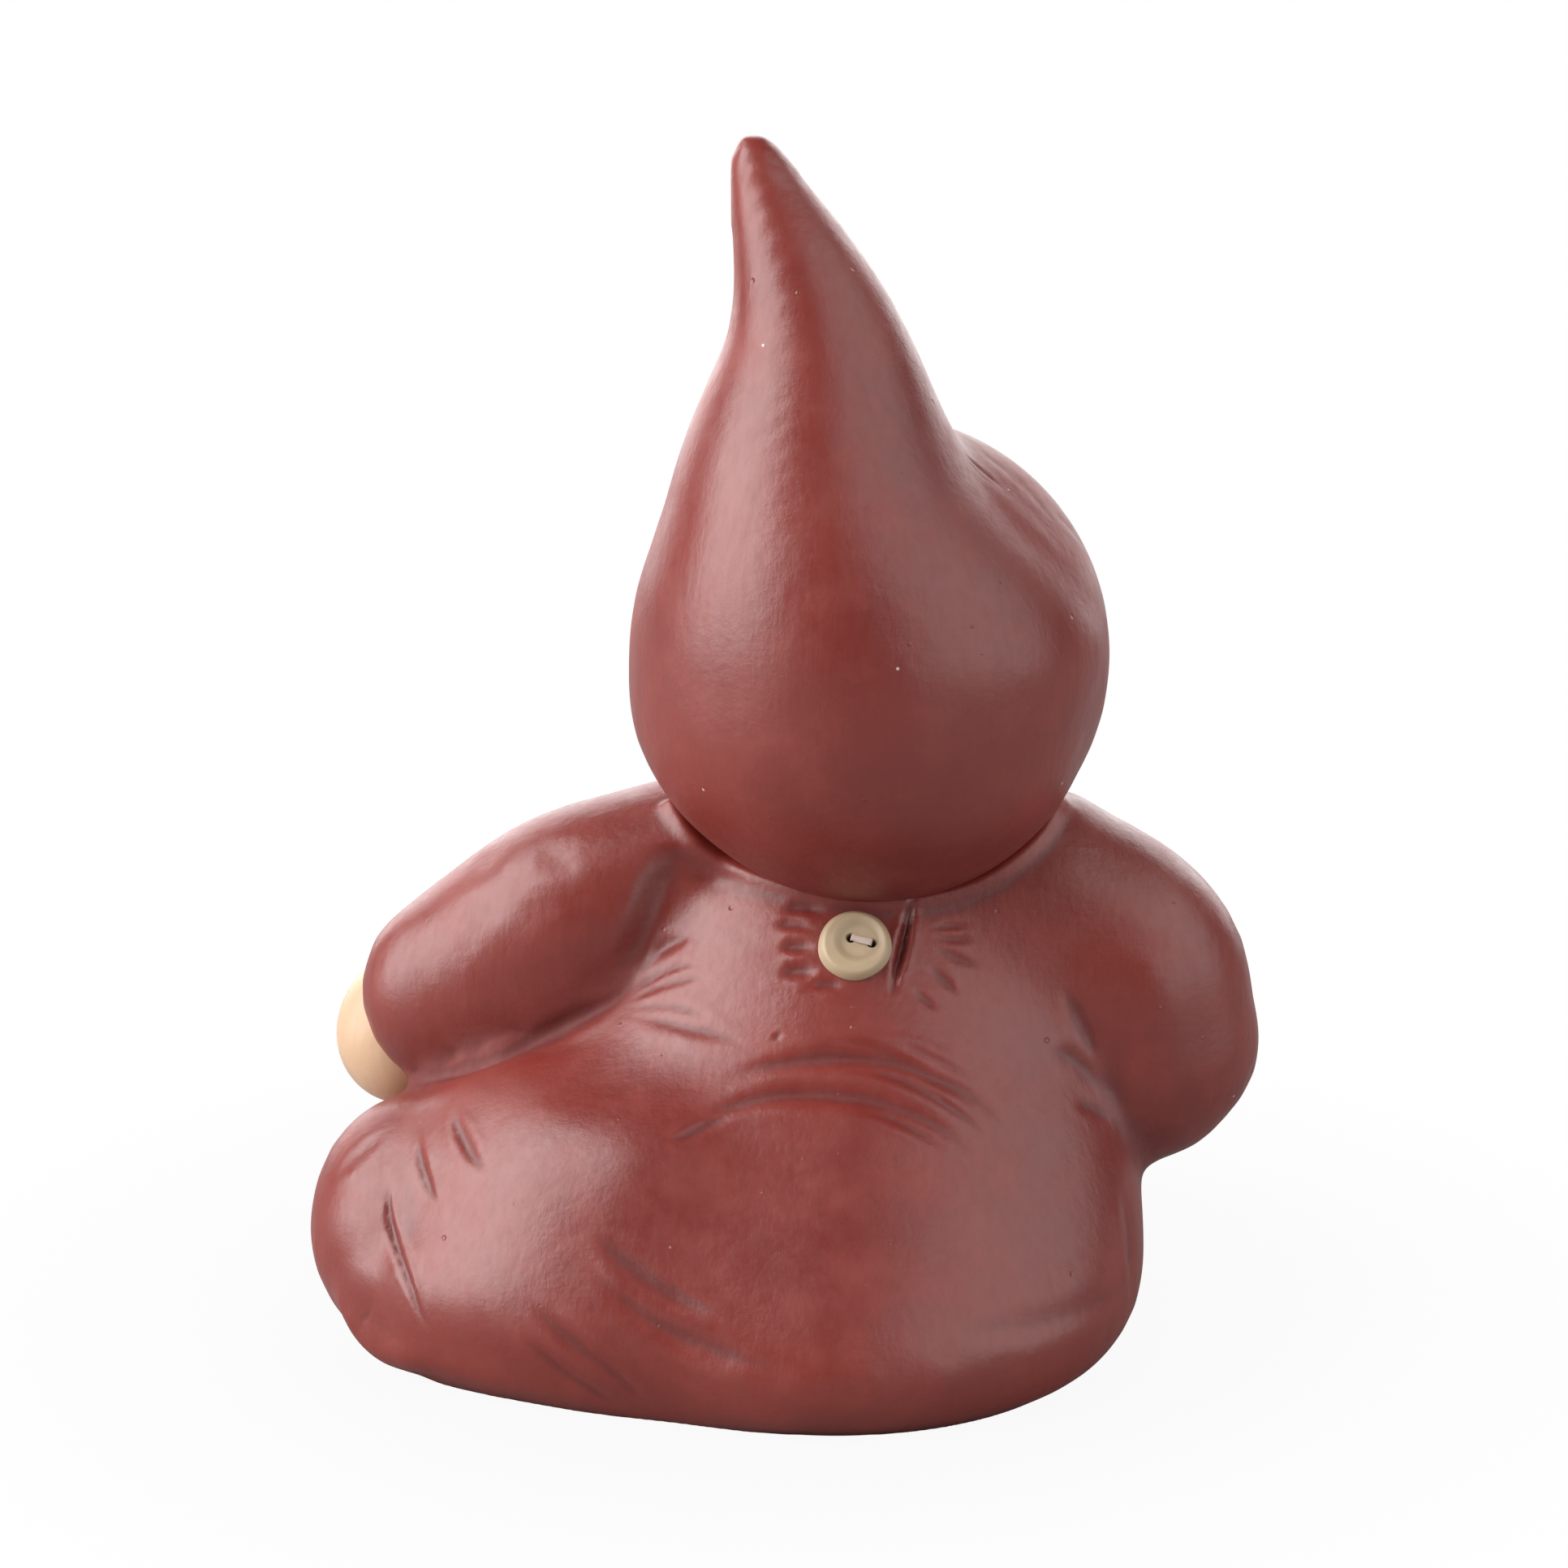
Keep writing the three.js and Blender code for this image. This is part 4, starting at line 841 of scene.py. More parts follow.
# Where a pattern shows: from and to which of its values, and from and to which share.
THICK_RANGE = (0.35, 0.68)
PATCH_RANGE = (0.48, 0.74, 0, 0.55)
STREAK_RANGE = (0.45, 0.75, 0, 0.35)
DUSTY_RANGE, PITTED_RANGE, GRAINY_RANGE = (0.56, 0.60), (0.52, 0.56), (0.57, 0.61)
# Spots: how far apart in millimetres, radius in shares of that, softness.
DUST_SPOTS, PIT_SPOTS, GRAIN_SPOTS = (4.2, 0.030), (6.5, 0.028, 0.03), (3.1, 0.036, 0.05)
DUST_COLOUR = (0.8, 0.75, 0.72, 1)
DUST_SHARE = 0.75
# How the streaks, the hollows and the dull places change the roughness.
PATCH_SPAN = (0.3, 0.7)
STREAK_ROUGHNESS = (0.35, 0.7, -0.03, 0.05)
HOLLOW_ROUGHNESS = (0.15, 0.8, 0, 0.08)
DULL_ROUGHNESS = (0, 1, 0, 0.3)
# Shares of the patterns in the relief, then the height in millimetres and strength of its layers.
STREAK_SHARE, CROSS_SHARE, FINE_SHARE, PIT_SHARE = 0.55, 0.45, 0.5, 1.5
BRUSHED_RELIEF, LUMP_RELIEF, SPOT_RELIEF = (0.10, 0.65), (0.22, 0.25), (0.10, 0.6)


def brushed(name, light, dark, tint, hollow, rough, level, grain=1.0, shade_share=0.75, blush=None):
    """Hand-laid paint: streaks of the brush, thin and thick places, pin holes, dust, and painted shade in
    hollows.
    """
    p = Paint(name)
    middle, hollows = p.noise(*PATCHES), p.attribute("hollow")
    streaks, cross = p.noise(*BRUSH_LINES), p.noise(*CROSS_LINES)
    colour = p.mixed(p.ranged(p.noise(*THICK_PLACES), *THICK_RANGE), light, dark)
    colour = p.mixed(p.ranged(middle, *PATCH_RANGE), colour, tint)
    colour = p.mixed(p.ranged(streaks, *STREAK_RANGE), colour, dark)
    if blush:
        colour = p.mixed(p.attribute("blush"), colour, blush)
    # Painted shade: the hollow colour is laid into the hollows, up to the share.
    colour = p.mixed(p.ranged(hollows, 0, 1, 0, shade_share), colour, hollow)
    dusty = p.sum("MULTIPLY", p.ranged(p.noise(*DUSTY_PLACES), *DUSTY_RANGE), DUST_SHARE)
    colour = p.mixed(p.sum("MULTIPLY", p.spots(*DUST_SPOTS), dusty), colour, DUST_COLOUR)
    roughness = p.ranged(middle, *PATCH_SPAN, *rough)
    dull = p.attribute("dull")
    changes = ((streaks, STREAK_ROUGHNESS), (hollows, HOLLOW_ROUGHNESS), (dull, DULL_ROUGHNESS))
    for value, ends in changes:
        roughness = p.sum("ADD", roughness, p.ranged(value, *ends))
    height = p.sum("MULTIPLY", streaks, STREAK_SHARE)
    height = p.sum("ADD", height, p.sum("MULTIPLY", cross, CROSS_SHARE))
    height = p.sum("ADD", height, p.sum("MULTIPLY", p.noise(*FINE_GRAIN), FINE_SHARE))
    normal = p.bump(height, BRUSHED_RELIEF[0] * grain, BRUSHED_RELIEF[1])
    normal = p.bump(p.noise(*LUMPS), LUMP_RELIEF[0] * grain, LUMP_RELIEF[1], normal)
    pits = p.sum("MULTIPLY", p.spots(*PIT_SPOTS), p.ranged(p.noise(*PITTED_PLACES), *PITTED_RANGE))
    grains = p.sum("MULTIPLY", p.spots(*GRAIN_SPOTS), p.ranged(p.noise(*GRAINY_PLACES), *GRAINY_RANGE))
    spots = p.sum("SUBTRACT", grains, p.sum("MULTIPLY", pits, PIT_SHARE))
    return p.finish(colour, roughness, p.bump(spots, *SPOT_RELIEF, normal), level)


def hollows_of(skin, steps=14, share=0.9, scale=11.5):
    """From 0 to 1, how far each point lies in a hollow of the skin."""
    spread = skin.points
    for _ in range(steps):
        spread = spread + share * (skin.mean_of_neighbours(spread) - spread)
    return np.clip(((spread - skin.points) * skin.normals()).sum(axis=1) * scale, 0, 1)


def dressed(name, points, faces, material, node, slot, values, normals=None):
    """A piece shown in place of a node, with values for its paint at each point."""
    obj = mesh_object(name, points, faces)
    mesh = obj.data
    for key, numbers in values.items():
        layer = mesh.attributes.new(key, "FLOAT", "POINT")
        layer.data.foreach_set("value", np.asarray(numbers, np.float32))
    mesh.polygons.foreach_set("use_smooth", np.ones(len(mesh.polygons), bool))
    if normals is not None:
        mesh.normals_split_custom_set_from_vertices(normals.tolist())
    mesh.materials.append(material)
    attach(obj, "root")
    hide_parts(node)


def skin_piece(name, skin, faces, material, node, slot, extra=None):
    """A piece made of some of a skin's faces, which keeps the skin's own normals at its edge."""
    used = np.unique(faces)
    renumber = np.zeros(len(skin.points), np.int64)
    renumber[used] = np.arange(len(used))
    values = dict(extra or {})
    # Unless given, the hollows of a piece get painted shade.
    if "hollow" not in values:
        values["hollow"] = hollows_of(skin)
    values = {key: numbers[used] for key, numbers in values.items()}
    dressed(name, skin.points[used], renumber[faces], material, node, slot, values, skin.normals()[used])


# The fourth colour of each paint is painted shade, laid into the hollows of its pieces.
red = brushed(
    "red_paint", linear(142, 52, 42), linear(126, 42, 35), linear(152, 60, 48), linear(90, 22, 19),
    (0.33, 0.42), 0.86, shade_share=0.55,
)
SKIN = dict(
    light=linear(226, 190, 156), dark=linear(214, 173, 138), tint=linear(232, 198, 167),
    hollow=linear(176, 118, 84), rough=(0.38, 0.48), level=0.5, grain=0.6, blush=linear(214, 128, 104),
)
skin_paint = brushed("skin_paint", **SKIN)
face_paint = brushed("face_paint", **SKIN)
beard_paint = brushed(
    "beard_paint", linear(226, 222, 212), linear(206, 200, 188), linear(236, 233, 226),
    linear(158, 148, 134), (0.5, 0.62), 0.4, grain=0.7,
)
boot_paint = brushed(
    "boot_paint", linear(84, 56, 42), linear(64, 42, 32), linear(98, 66, 48), linear(34, 22, 17),
    (0.32, 0.44), 0.6,
)
# The button's hollow colour is near black: painted shade in its holes, at the foot of its dish and under it.
button_paint = brushed(
    "button_paint", linear(206, 182, 150), linear(190, 166, 134), linear(214, 192, 160),
    linear(26, 20, 16), (0.34, 0.44), 0.5, grain=0.35, shade_share=0.98,
)
thread_paint = brushed(
    "thread_paint", linear(222, 200, 186), linear(204, 180, 166), linear(230, 212, 200),
    linear(150, 120, 104), (0.5, 0.6), 0.4, grain=0.3,
)

# Garment and hood, as pieces.

# Paint is duller where the underside of the hood was rubbed against the collar.
HOOD_DULL_TOP = HEAD_CENTRE[2] - 10
HOOD_DULL_LOW = HEAD_CENTRE[2] - 19
RUBBED_DULL = 0.6
# It is duller over the head too, beside the crease.
CROWN = [(1275, 615), (1285, 625)]
CROWN_RADIUS = 13
CROWN_DULL = 0.7


def hood_dull(skin):
    """How dull the paint of the hood is, from 0 to 1."""
    low = np.clip((HOOD_DULL_TOP - skin.points[:, 2]) / (HOOD_DULL_TOP - HOOD_DULL_LOW), 0, 1)
    away = np.linalg.norm(skin.points - cast(skin.tree(), CROWN)[0], axis=1)
    return np.maximum(RUBBED_DULL * low, CROWN_DULL * bell(away, CROWN_RADIUS))


# Under the left sleeve the crease gets painted shade, and its paint is duller.
CREASE = [(500, 1330), (560, 1312), (620, 1290), (700, 1250), (760, 1218)]
CREASE_WIDTH = 3.0
CREASE_SHADE = 0.45
# The slope beside the sleeve gets less painted shade in its hollow.
SLOPE_SHADE_RADIUS = 8
SLOPE_SHADE_LOSS = 0.8


def garment_dull_and_shade(skin):
    """How dull the paint of the garment is, and the painted shade in its hollows and its crease."""
    gap = np.full(len(skin.points), np.inf)
    for spot in cast(skin.tree(), CREASE):
        gap = np.minimum(gap, np.linalg.norm(skin.points - spot, axis=1))
    in_crease = bell(gap, CREASE_WIDTH)
    away = np.linalg.norm(skin.points - SOFT_VALLEY[0][:3], axis=1)
    hollow = hollows_of(skin) * (1 - SLOPE_SHADE_LOSS * bell(away, SLOPE_SHADE_RADIUS))
    return {"dull": in_crease, "hollow": np.maximum(hollow, CREASE_SHADE * in_crease)}


skin_piece("hood_skin", hood, hood.faces, red, "hood", "red_paint", {"dull": hood_dull(hood)})
dull_and_shade = garment_dull_and_shade(garment)
for number, node in enumerate(GARMENT_NODES):
    faces = garment.faces[garment.tags == number]
    skin_piece(node + "_skin", garment, faces, red, node, "red_paint", dull_and_shade)


def whole(name, surfaces, voxel, material, node, slot, smooth=6, shape=None, extra=None):
    """A piece of its own: forms run together, evened and refined, then shaped by a function."""
    skin = remeshed(surfaces, voxel)
    skin.smooth(smooth)
    skin = skin.refined(1)
    skin.smooth(3)
    if shape:
        shape(skin)
    skin_piece(name, skin, skin.faces, material, node, slot, extra(skin) if extra else None)


# Face.

EYES = [(5.5, 4.6), (-5.5, 4.6)]
CHEEK = (7.6, -2.8)
# Soft forms on both halves of the face: across, up, half width, half height, how far it stands out.
FACE_FORMS = [
    # cheek, eye socket, brow, bridge of the nose
    (*CHEEK, 4, 4 / 1.1, 1.5),
    (5.5, 4.9, 3, 2.5, -1.5),
    (5.3, 8.9, 4, 1.7, 0.8),
    (0, 4.2, 1.9, 4.2, 1),
]
# The lids: a rim round each eye, higher above than below, and a fold over it.
LID_FLATNESS = 1.12
LID_RADIUS, LID_WIDTH, LID_HEIGHT, UPPER_LID = 2.05, 0.42, 0.28, 0.55
FOLD_RADIUS, FOLD_WIDTH, FOLD_DEPTH = 3.0, 0.35, 0.22
UPPER_FROM, UPPER_STEEPNESS = 0.2, 3.0
# The line that the cheek leaves beside the nose.
SMILE_RADIUS, SMILE_WIDTH, SMILE_DEPTH, SMILE_END = 4.6, 0.5, 0.30, 7
# The side wall of the inset: how deep its top and its foot lie, and its rings.
WALL_TOP, WALL_FOOT, WALL_RINGS = 0.5, 3.2, 5


def face_grid(rings=110, sides=220):
    """The face: an oval dome with cheeks, brows and eyelids, and its side wall."""
    share = np.concatenate([np.linspace(0.004, 1, rings), np.ones(WALL_RINGS)])[:, None]
    c, s = circle(sides)
    x = FACE_HALF_WIDTH * share * c
    z = FACE_HALF_HEIGHT * share * s + FACE_DROP
    out = FACE_EDGE + FACE_DOME * np.sqrt(np.clip(1 - share**2, 0, 1)) + 0 * x
    half = np.abs(x)
    for at, up, wide, high, height in FACE_FORMS:
        out += height * bell(np.hypot((half - at) / wide, (z - up) / high))
    for ex, ez in EYES:
        r = np.hypot(x - ex, (z - ez) * LID_FLATNESS)
        upper = 1 / (1 + np.exp(-(z - ez - UPPER_FROM) * UPPER_STEEPNESS))
        out += (UPPER_LID * upper + LID_HEIGHT) * bell(r - LID_RADIUS, LID_WIDTH)
        out -= FOLD_DEPTH * upper * bell(r - FOLD_RADIUS, FOLD_WIDTH)
    smile = bell(np.hypot(half - CHEEK[0], z - CHEEK[1]) - SMILE_RADIUS, SMILE_WIDTH)
    out -= SMILE_DEPTH * smile * (half < SMILE_END)
    out[rings:] = (FACE_EDGE - np.linspace(WALL_TOP, WALL_FOOT, WALL_RINGS))[:, None]
    middle = from_face([0, out[0].mean(), FACE_DROP])
    back = from_face([0, FACE_EDGE - WALL_FOOT, FACE_DROP])
    return ring_surface(from_face(np.stack([x, out, z], axis=-1)), middle, back)


# Red on the cheeks: across, up, radius, strength. Painted shade round the eyes, in their sockets: radius,
# strength.
CHEEK_RED = (8.2, -2.4, 4.8, 0.7)
SOCKET_SHADE = (2.6, 0.45)
NOSE_RED = 0.75


def face_colours(points):
    across, _, up = to_face(points).T
    cheek = bell(np.hypot(np.abs(across) - CHEEK_RED[0], up - CHEEK_RED[1]), CHEEK_RED[2])
    sockets = sum(bell(np.hypot(across - ex, up - ez), SOCKET_SHADE[0]) for ex, ez in EYES)
    return {"hollow": np.clip(sockets, 0, 1) * SOCKET_SHADE[1], "blush": cheek * CHEEK_RED[3]}


points, faces = face_grid()
dressed("face_inset", points, faces, face_paint, "face", "skin_paint", face_colours(points))

NOSE_OUT = FACE_EDGE + FACE_DOME + 1.61
# The ball of the nose, its wings and its bridge: across, out, up, radii, sides.
NOSE_BALLS = [
    (0, 0, 0.5, [4.5, 4.5, 4.3], 64),
    (2.9, -1.6, -0.6, [1.7, 2.2, 1.8], 40),
    (-2.9, -1.6, -0.6, [1.7, 2.2, 1.8], 40),
    (0, -2.4, 2.8, [2.0, 2.6, 2.4], 40),
]
nose = [ball_surface(from_face([x, NOSE_OUT + y, z]), radii, n) for x, y, z, radii, n in NOSE_BALLS]
whole("nose_ball", nose, 0.5, face_paint, "nose", "skin_paint", smooth=10,
      extra=lambda skin: {"blush": np.full(len(skin.points), NOSE_RED)})


def gloss_eye():
    p = Paint("eye_gloss")
    p.shader.inputs["Coat Weight"].default_value = 0.6
    p.shader.inputs["Coat Roughness"].default_value = 0.06
    spread = p.noise(1.4, 2, 0.5)
    colour = p.mixed(p.ranged(spread, 0.35, 0.7), linear(22, 17, 15), linear(40, 30, 25))
    return p.finish(colour, p.ranged(spread, 0.3, 0.7, 0.10, 0.18), level=0.6)


# The eyeballs, and how deep their centres lie under the dome of the face.
EYE_RADII = [1.65, 1.65, 1.6]
EYE_SUNK = 0.55
eye_gloss = gloss_eye()
for node, (ex, ez) in zip(("left_eye", "right_eye"), EYES):
    dome = math.sqrt(1 - (ex / FACE_HALF_WIDTH) ** 2 - ((ez - FACE_DROP) / FACE_HALF_HEIGHT) ** 2)
    centre = from_face([ex, FACE_EDGE + FACE_DOME * dome - EYE_SUNK, ez])
    dressed(node + "_ball", *ball_surface(centre, EYE_RADII, 40), eye_gloss, node, "eye_gloss", {})

# Moustache and beard.


def hair_lock(places, radii, flat=0.8):
    """A tapered lock through places in the face's frame."""
    stations = [[*place, r, r * flat] for place, r in zip(from_face(places), radii)]
    return limb_surface(stations, sides=18, per_span=5, dome_rings=4)


# Lines of the moustache from its middle to an end: across, out, up.
LOCK_KNOTS = [(0.9, 6.2, -4.6), (4.2, 6.6, -5.1), (8.2, 5.0, -6.4), (11.6, 2.7, -7.7), (14, 1, -7.2)]
GROOVE_KNOTS = [(1.2, 7.2, -4.6), (4.2, 7.8, -5.1), (8.2, 6, -6.4), (11.6, 3.4, -7.7), (13.4, 1.6, -7.3)]
# Shorter at the upper and lower edge, further out between them, and spread up and down.
KNOT_CHANGES = [(0, 0.9, 1.5), (0, 1.3, 2.0), (0, 1.0, 1.8), (0.8, 0.5, 1.1), (1.6, 0, 0.9)]
LOCK_RADII = [1.0, 1.25, 1.05, 0.75, 0.32]
LOCK_FLATNESS = 0.95
LOCK_WAVE = 0.25
WAVE_TURN = 1.7
LOCKS_A_SIDE = 7
GROOVE_HEIGHTS = (-0.75, -0.45, -0.15, 0.15, 0.45, 0.75)


def moustache_line(knots, side, height):
    """One line of the moustache: side 1 or -1, height from -1 at its lower edge to 1."""
    changes = np.array(KNOT_CHANGES) * [-abs(height), 1 - height * height, height]
    return (np.array(knots) + changes + [0, FACE_EDGE, 0]) * [side, 1, 1]


def moustache_locks():
    locks = []
    for side in (1, -1):
        for height in np.linspace(-1, 1, LOCKS_A_SIDE):
            path = moustache_line(LOCK_KNOTS, side, height)
            wave = random.uniform(-LOCK_WAVE, LOCK_WAVE)
            path[:, 2] += wave * np.sin(np.arange(len(path)) * WAVE_TURN)
            locks.append(hair_lock(path, LOCK_RADII, LOCK_FLATNESS))
    return locks


# The beard from the chin down: out, up, half width, half depth.
BEARD = [
    [3.4, -9.0, 12.6, 4.6], [4.6, -16.0, 14.2, 6.0], [4.0, -24.0, 11.2, 6.4], [1.6, -31.0, 5.6, 5.0],
]
BEARD_TIP = [0.2, -35.4, 2.0, 2.4]
# The core lies deeper than the locks, and is narrower.
CORE_SUNK, CORE_WIDTH = 0.6, 0.86
BEARD_WIDTH, BEARD_DEPTH = 0.93, 0.84
# Locks and grooves sway from side to side: how far, turn with each step, and any phase.
SWAY = 0.55
LOCK_TURN, GROOVE_TURN = 1.25, 0.26
FULL_TURN = 6.28
# Their ends are spread: by how much at most, and where a groove starts and ends.
LOCK_SPREAD, GROOVE_SPREAD = 0.35, 0.3
GROOVE_START, GROOVE_END = 0.1, 3.95
# Grooves: width and depth, ridges beside them in shares of the depth, end fade.
BEARD_GROOVE, MOUSTACHE_GROOVE = (0.50, 0.42), (0.32, 0.26)
GROOVE_RIDGE, GROOVE_FADE = 0.25, 0.22
# Layers of locks: how many, where they end, how far out, drop of the tip, size, loss at the edge.
BEARD_LAYERS = [(15, 3.0, 0.0, 4.4, 1.75, 0.3), (12, 2.1, 0.35, 2.8, 1.45, 0), (9, 1.2, 0.7, 1.6, 1.45, 0)]
# How far the locks reach to the sides, and how much less with each layer.
LAYER_WIDTH, LAYER_LOSS = 0.95, 0.05
LOCK_TAPER = (0.85, 1.05, 1.1, 1.0, 0.72, 0.3)
# Grooves of the beard: how many, how far to the sides, lift over the skin, steps.
BEARD_GROOVES, GROOVES_WIDTH, GROOVE_LIFT, GROOVE_STEPS = 17, 0.92, 0.6, 36


def beard_line(rows, start, end, steps, across, phase, turn, lift):
    """A swaying line down the beard: across from -1 at its right edge to 1 at its left."""
    out, z, wide, deep = through_rows(rows, np.linspace(start, end, steps)).T
    x = across * wide * BEARD_WIDTH + SWAY * np.sin(np.arange(steps) * turn + phase)
    y = FACE_EDGE + out + deep * math.sqrt(1 - across * across) * BEARD_DEPTH + lift
    return np.stack([x, y, z], axis=1)


def beard_locks():
    """A core, and locks laid over it that run together at the tip."""
    places = [(from_face([0, FACE_EDGE + out - CORE_SUNK, z]), w, d) for out, z, w, d in BEARD]
    core = [[*place, w * CORE_WIDTH, d * BEARD_DEPTH] for place, w, d in places]
    locks = [limb_surface(core, sides=40)]
    for layer, (count, end, lift, drop, size, loss) in enumerate(BEARD_LAYERS):
        for k in range(count):
            across = (k / (count - 1) * 2 - 1) * (LAYER_WIDTH - LAYER_LOSS * layer)
            phase = random.uniform(0, FULL_TURN)
            stop = end - random.uniform(0, LOCK_SPREAD) - loss * abs(across)
            path = beard_line(BEARD, 0, stop, len(LOCK_TAPER), across, phase, LOCK_TURN, lift)
            path[-1, 2] -= drop
            locks.append(hair_lock(path, [size * f for f in LOCK_TAPER]))
    return locks


def groove_along(skin, tree, normals, places, width, depth):
    """A groove in the hair, along places in the face's frame that lie near its skin."""
    line = [tree.find_nearest(Vector(place))[0] for place in from_face(places)]
    ridge = GROOVE_RIDGE * depth
    carve(skin, normals, np.array(line), width, depth, ridge, ridge, blunt=GROOVE_FADE)


def beard_grooves(skin):
    """Long grooves that run down the beard to its tip."""
    tree, normals = skin.tree(), skin.normals()
    for k in range(BEARD_GROOVES):
        across = (k / (BEARD_GROOVES - 1) * 2 - 1) * GROOVES_WIDTH
        phase = random.uniform(0, FULL_TURN)
        end = GROOVE_END - GROOVE_SPREAD * random.random()
        ends = (GROOVE_START, end, GROOVE_STEPS)
        places = beard_line([*BEARD, BEARD_TIP], *ends, across, phase, GROOVE_TURN, GROOVE_LIFT)
        groove_along(skin, tree, normals, places, *BEARD_GROOVE)


def moustache_grooves(skin):
    """Grooves from the middle of the moustache to its ends."""
    tree, normals = skin.tree(), skin.normals()
    for side in (1, -1):
        for height in GROOVE_HEIGHTS:
            places = through_rows(moustache_line(GROOVE_KNOTS, side, height), np.linspace(0, 4, 24))
            groove_along(skin, tree, normals, places, *MOUSTACHE_GROOVE)


random.seed(7)
whole("moustache_hair", moustache_locks(), 0.42, beard_paint, "moustache", "beard_paint", smooth=5,
      shape=moustache_grooves)
whole("beard_hair", beard_locks(), 0.6, beard_paint, "beard", "beard_paint", smooth=9,
      shape=beard_grooves)

# Hands.

# The ball on the tip of a finger: in shares of its radius, and longer than wide by this.
TIP_SIZE, TIP_LONGER = 0.96, 0.3


def hand(palm, thumb, fingers, bends, tip):
    """A hand. Fingers: x, radius, drop of the tip. Bends: across, y, z, width and height in radii."""
    forms = [limb_surface(palm), limb_surface(thumb, sides=32)]
    for x, r, _ in fingers:
        forms.append(limb_surface([[x + dx, y, z, r * w, r * h] for dx, y, z, w, h in bends], sides=28))
    for x, r, drop in fingers:
        centre = [x + tip[0], tip[1], tip[2] - drop]
        tip_radius = r * TIP_SIZE
        forms.append(ball_surface(centre, [tip_radius, tip_radius, tip_radius + TIP_LONGER], 32))
    return forms


LEFT_HAND = hand(
    [[45.6, -12, 31.8, 7.6, 8.8], [46, -15.6, 30.2, 7.7, 8.2], [45.6, -18.6, 28.4, 7.3, 5.8]],
    [[40.6, -12.6, 31.4, 3, 3], [38.6, -16.4, 30.6, 2.7, 2.7], [37.2, -19.6, 28.6, 2.3, 2.3]],
    [(40.6, 2.1, 0), (44.3, 2.25, 0.7), (47.9, 2.2, 0.5), (51, 1.95, 0)],
    [(0, -17.6, 28.8, 1, 1), (-0.3, -21.8, 27.2, 1.02, 1), (-0.7, -24.8, 22.8, 0.9, 0.9)],
    (-0.75, -25, 22.4),
)
RIGHT_HAND = hand(
    [[-31.6, -26.4, 44, 7.4, 6.2], [-30.4, -31, 46, 8, 5.4], [-29.4, -34, 46, 7.6, 4.2]],
    [[-24.6, -26.6, 46.4, 3, 3], [-21.8, -30, 45.6, 2.6, 2.6], [-21.2, -33, 44.4, 2.2, 2.2]],
    [(-35, 1.9, 0), (-31.6, 2.15, 0.5), (-28.1, 2.2, 0.7), (-24.7, 2.05, 0.1)],
    [(0, -33.4, 46.4, 1, 1), (0.5, -37.2, 45.8, 1, 1), (0.9, -39.8, 43, 0.9, 0.9)],
    (1, -40, 42.6),
)
# The fingers turn redder to the front, from a y on and over a length.
BLUSH_LENGTH = 8
BLUSH_SHARE = 0.35


def blushed_tips(y):
    return lambda skin: {"blush": np.clip((y - skin.points[:, 1]) / BLUSH_LENGTH, 0, 1) * BLUSH_SHARE}


for node, forms, blush_from in (("left_hand", LEFT_HAND, -18), ("right_hand", RIGHT_HAND, -33)):
    whole(node + "_skin", forms, 0.5, skin_paint, node, "skin_paint", smooth=3,
          extra=blushed_tips(blush_from))

# Boots.

# The sole: height of its top, how far it stands out, steepness. The groove: height, width, depth.
SOLE_TOP, SOLE_OUT, SOLE_STEEPNESS = 2.3, 0.30, 6
WELT_AT, WELT_WIDTH, WELT_DEPTH = 2.75, 0.4, 0.32
TOE_RISE, TOE_SIZE = 0.4, 0.98


def soled(skin):
    """A sole that stands out, with a groove above it."""
    normals, z = skin.normals(), skin.points[:, 2]
    flat = np.hypot(normals[:, 0], normals[:, 1])
    step = SOLE_OUT / (1 + np.exp((z - SOLE_TOP) * SOLE_STEEPNESS))
    step -= WELT_DEPTH * bell(z - WELT_AT, WELT_WIDTH)
    skin.points = skin.points + normals * (step * flat)[:, None]
    skin.points[:, 2] = np.maximum(skin.points[:, 2], 0.0)


for node, stations in (("left_boot", LEFT_BOOT), ("right_boot", RIGHT_BOOT)):
    x, y, z, wide, high = stations[-1]
    toe = ball_surface([x, y, z + TOE_RISE], [wide * TOE_SIZE, wide * TOE_SIZE, high], 48)
    forms = [limb_surface(stations, SEAT_SQUARENESS), toe]
    whole(node + "_skin", forms, 0.7, boot_paint, node, "boot_paint", shape=soled)

# Button and thread.

BUTTON_CENTRE = np.array([-8.0, 12.6, 49.2])
BUTTON_TILT = math.radians(55)
BUTTON_TURN = np.array(Matrix.Rotation(-BUTTON_TILT, 3, "X"))
BUTTON_RADIUS = 4.12
# The top: height; then the edge: the radius where it starts, width, fall, roundness.
BUTTON_TOP, EDGE_FROM, EDGE_WIDTH, EDGE_FALL, EDGE_BEND = 1.55, 3.25, 0.9, 1.2, 2.4
# The dish: its middle, half sizes, and how its wall falls.
DISH = (-0.55, -0.35, 2.75, 2.55)
DISH_FLOOR, WALL_FROM, WALL_WIDTH = 1.12, 1.12, 0.42
# Painted shade at the foot of the dish's wall: where, width, strength.
DISH_FOOT_SHADE = (0.78, 0.16, 0.12)
HOLES = ((0.45, -0.72, 0.50), (-1.90, -0.08, 0.46))
HOLE_DEPTH = 0.85
# The underside, from the edge in: share of the radius and height.
UNDERSIDE = [(1.0, 0.1), (0.96, -0.12), (0.86, -0.3)]
# Painted shade on the underside of the button and in the middle of its back.
UNDERSIDE_SHADE, BACK_SHADE = 0.35, 0.5


def from_button(points):
    return np.asarray(points, float) @ BUTTON_TURN.T + BUTTON_CENTRE


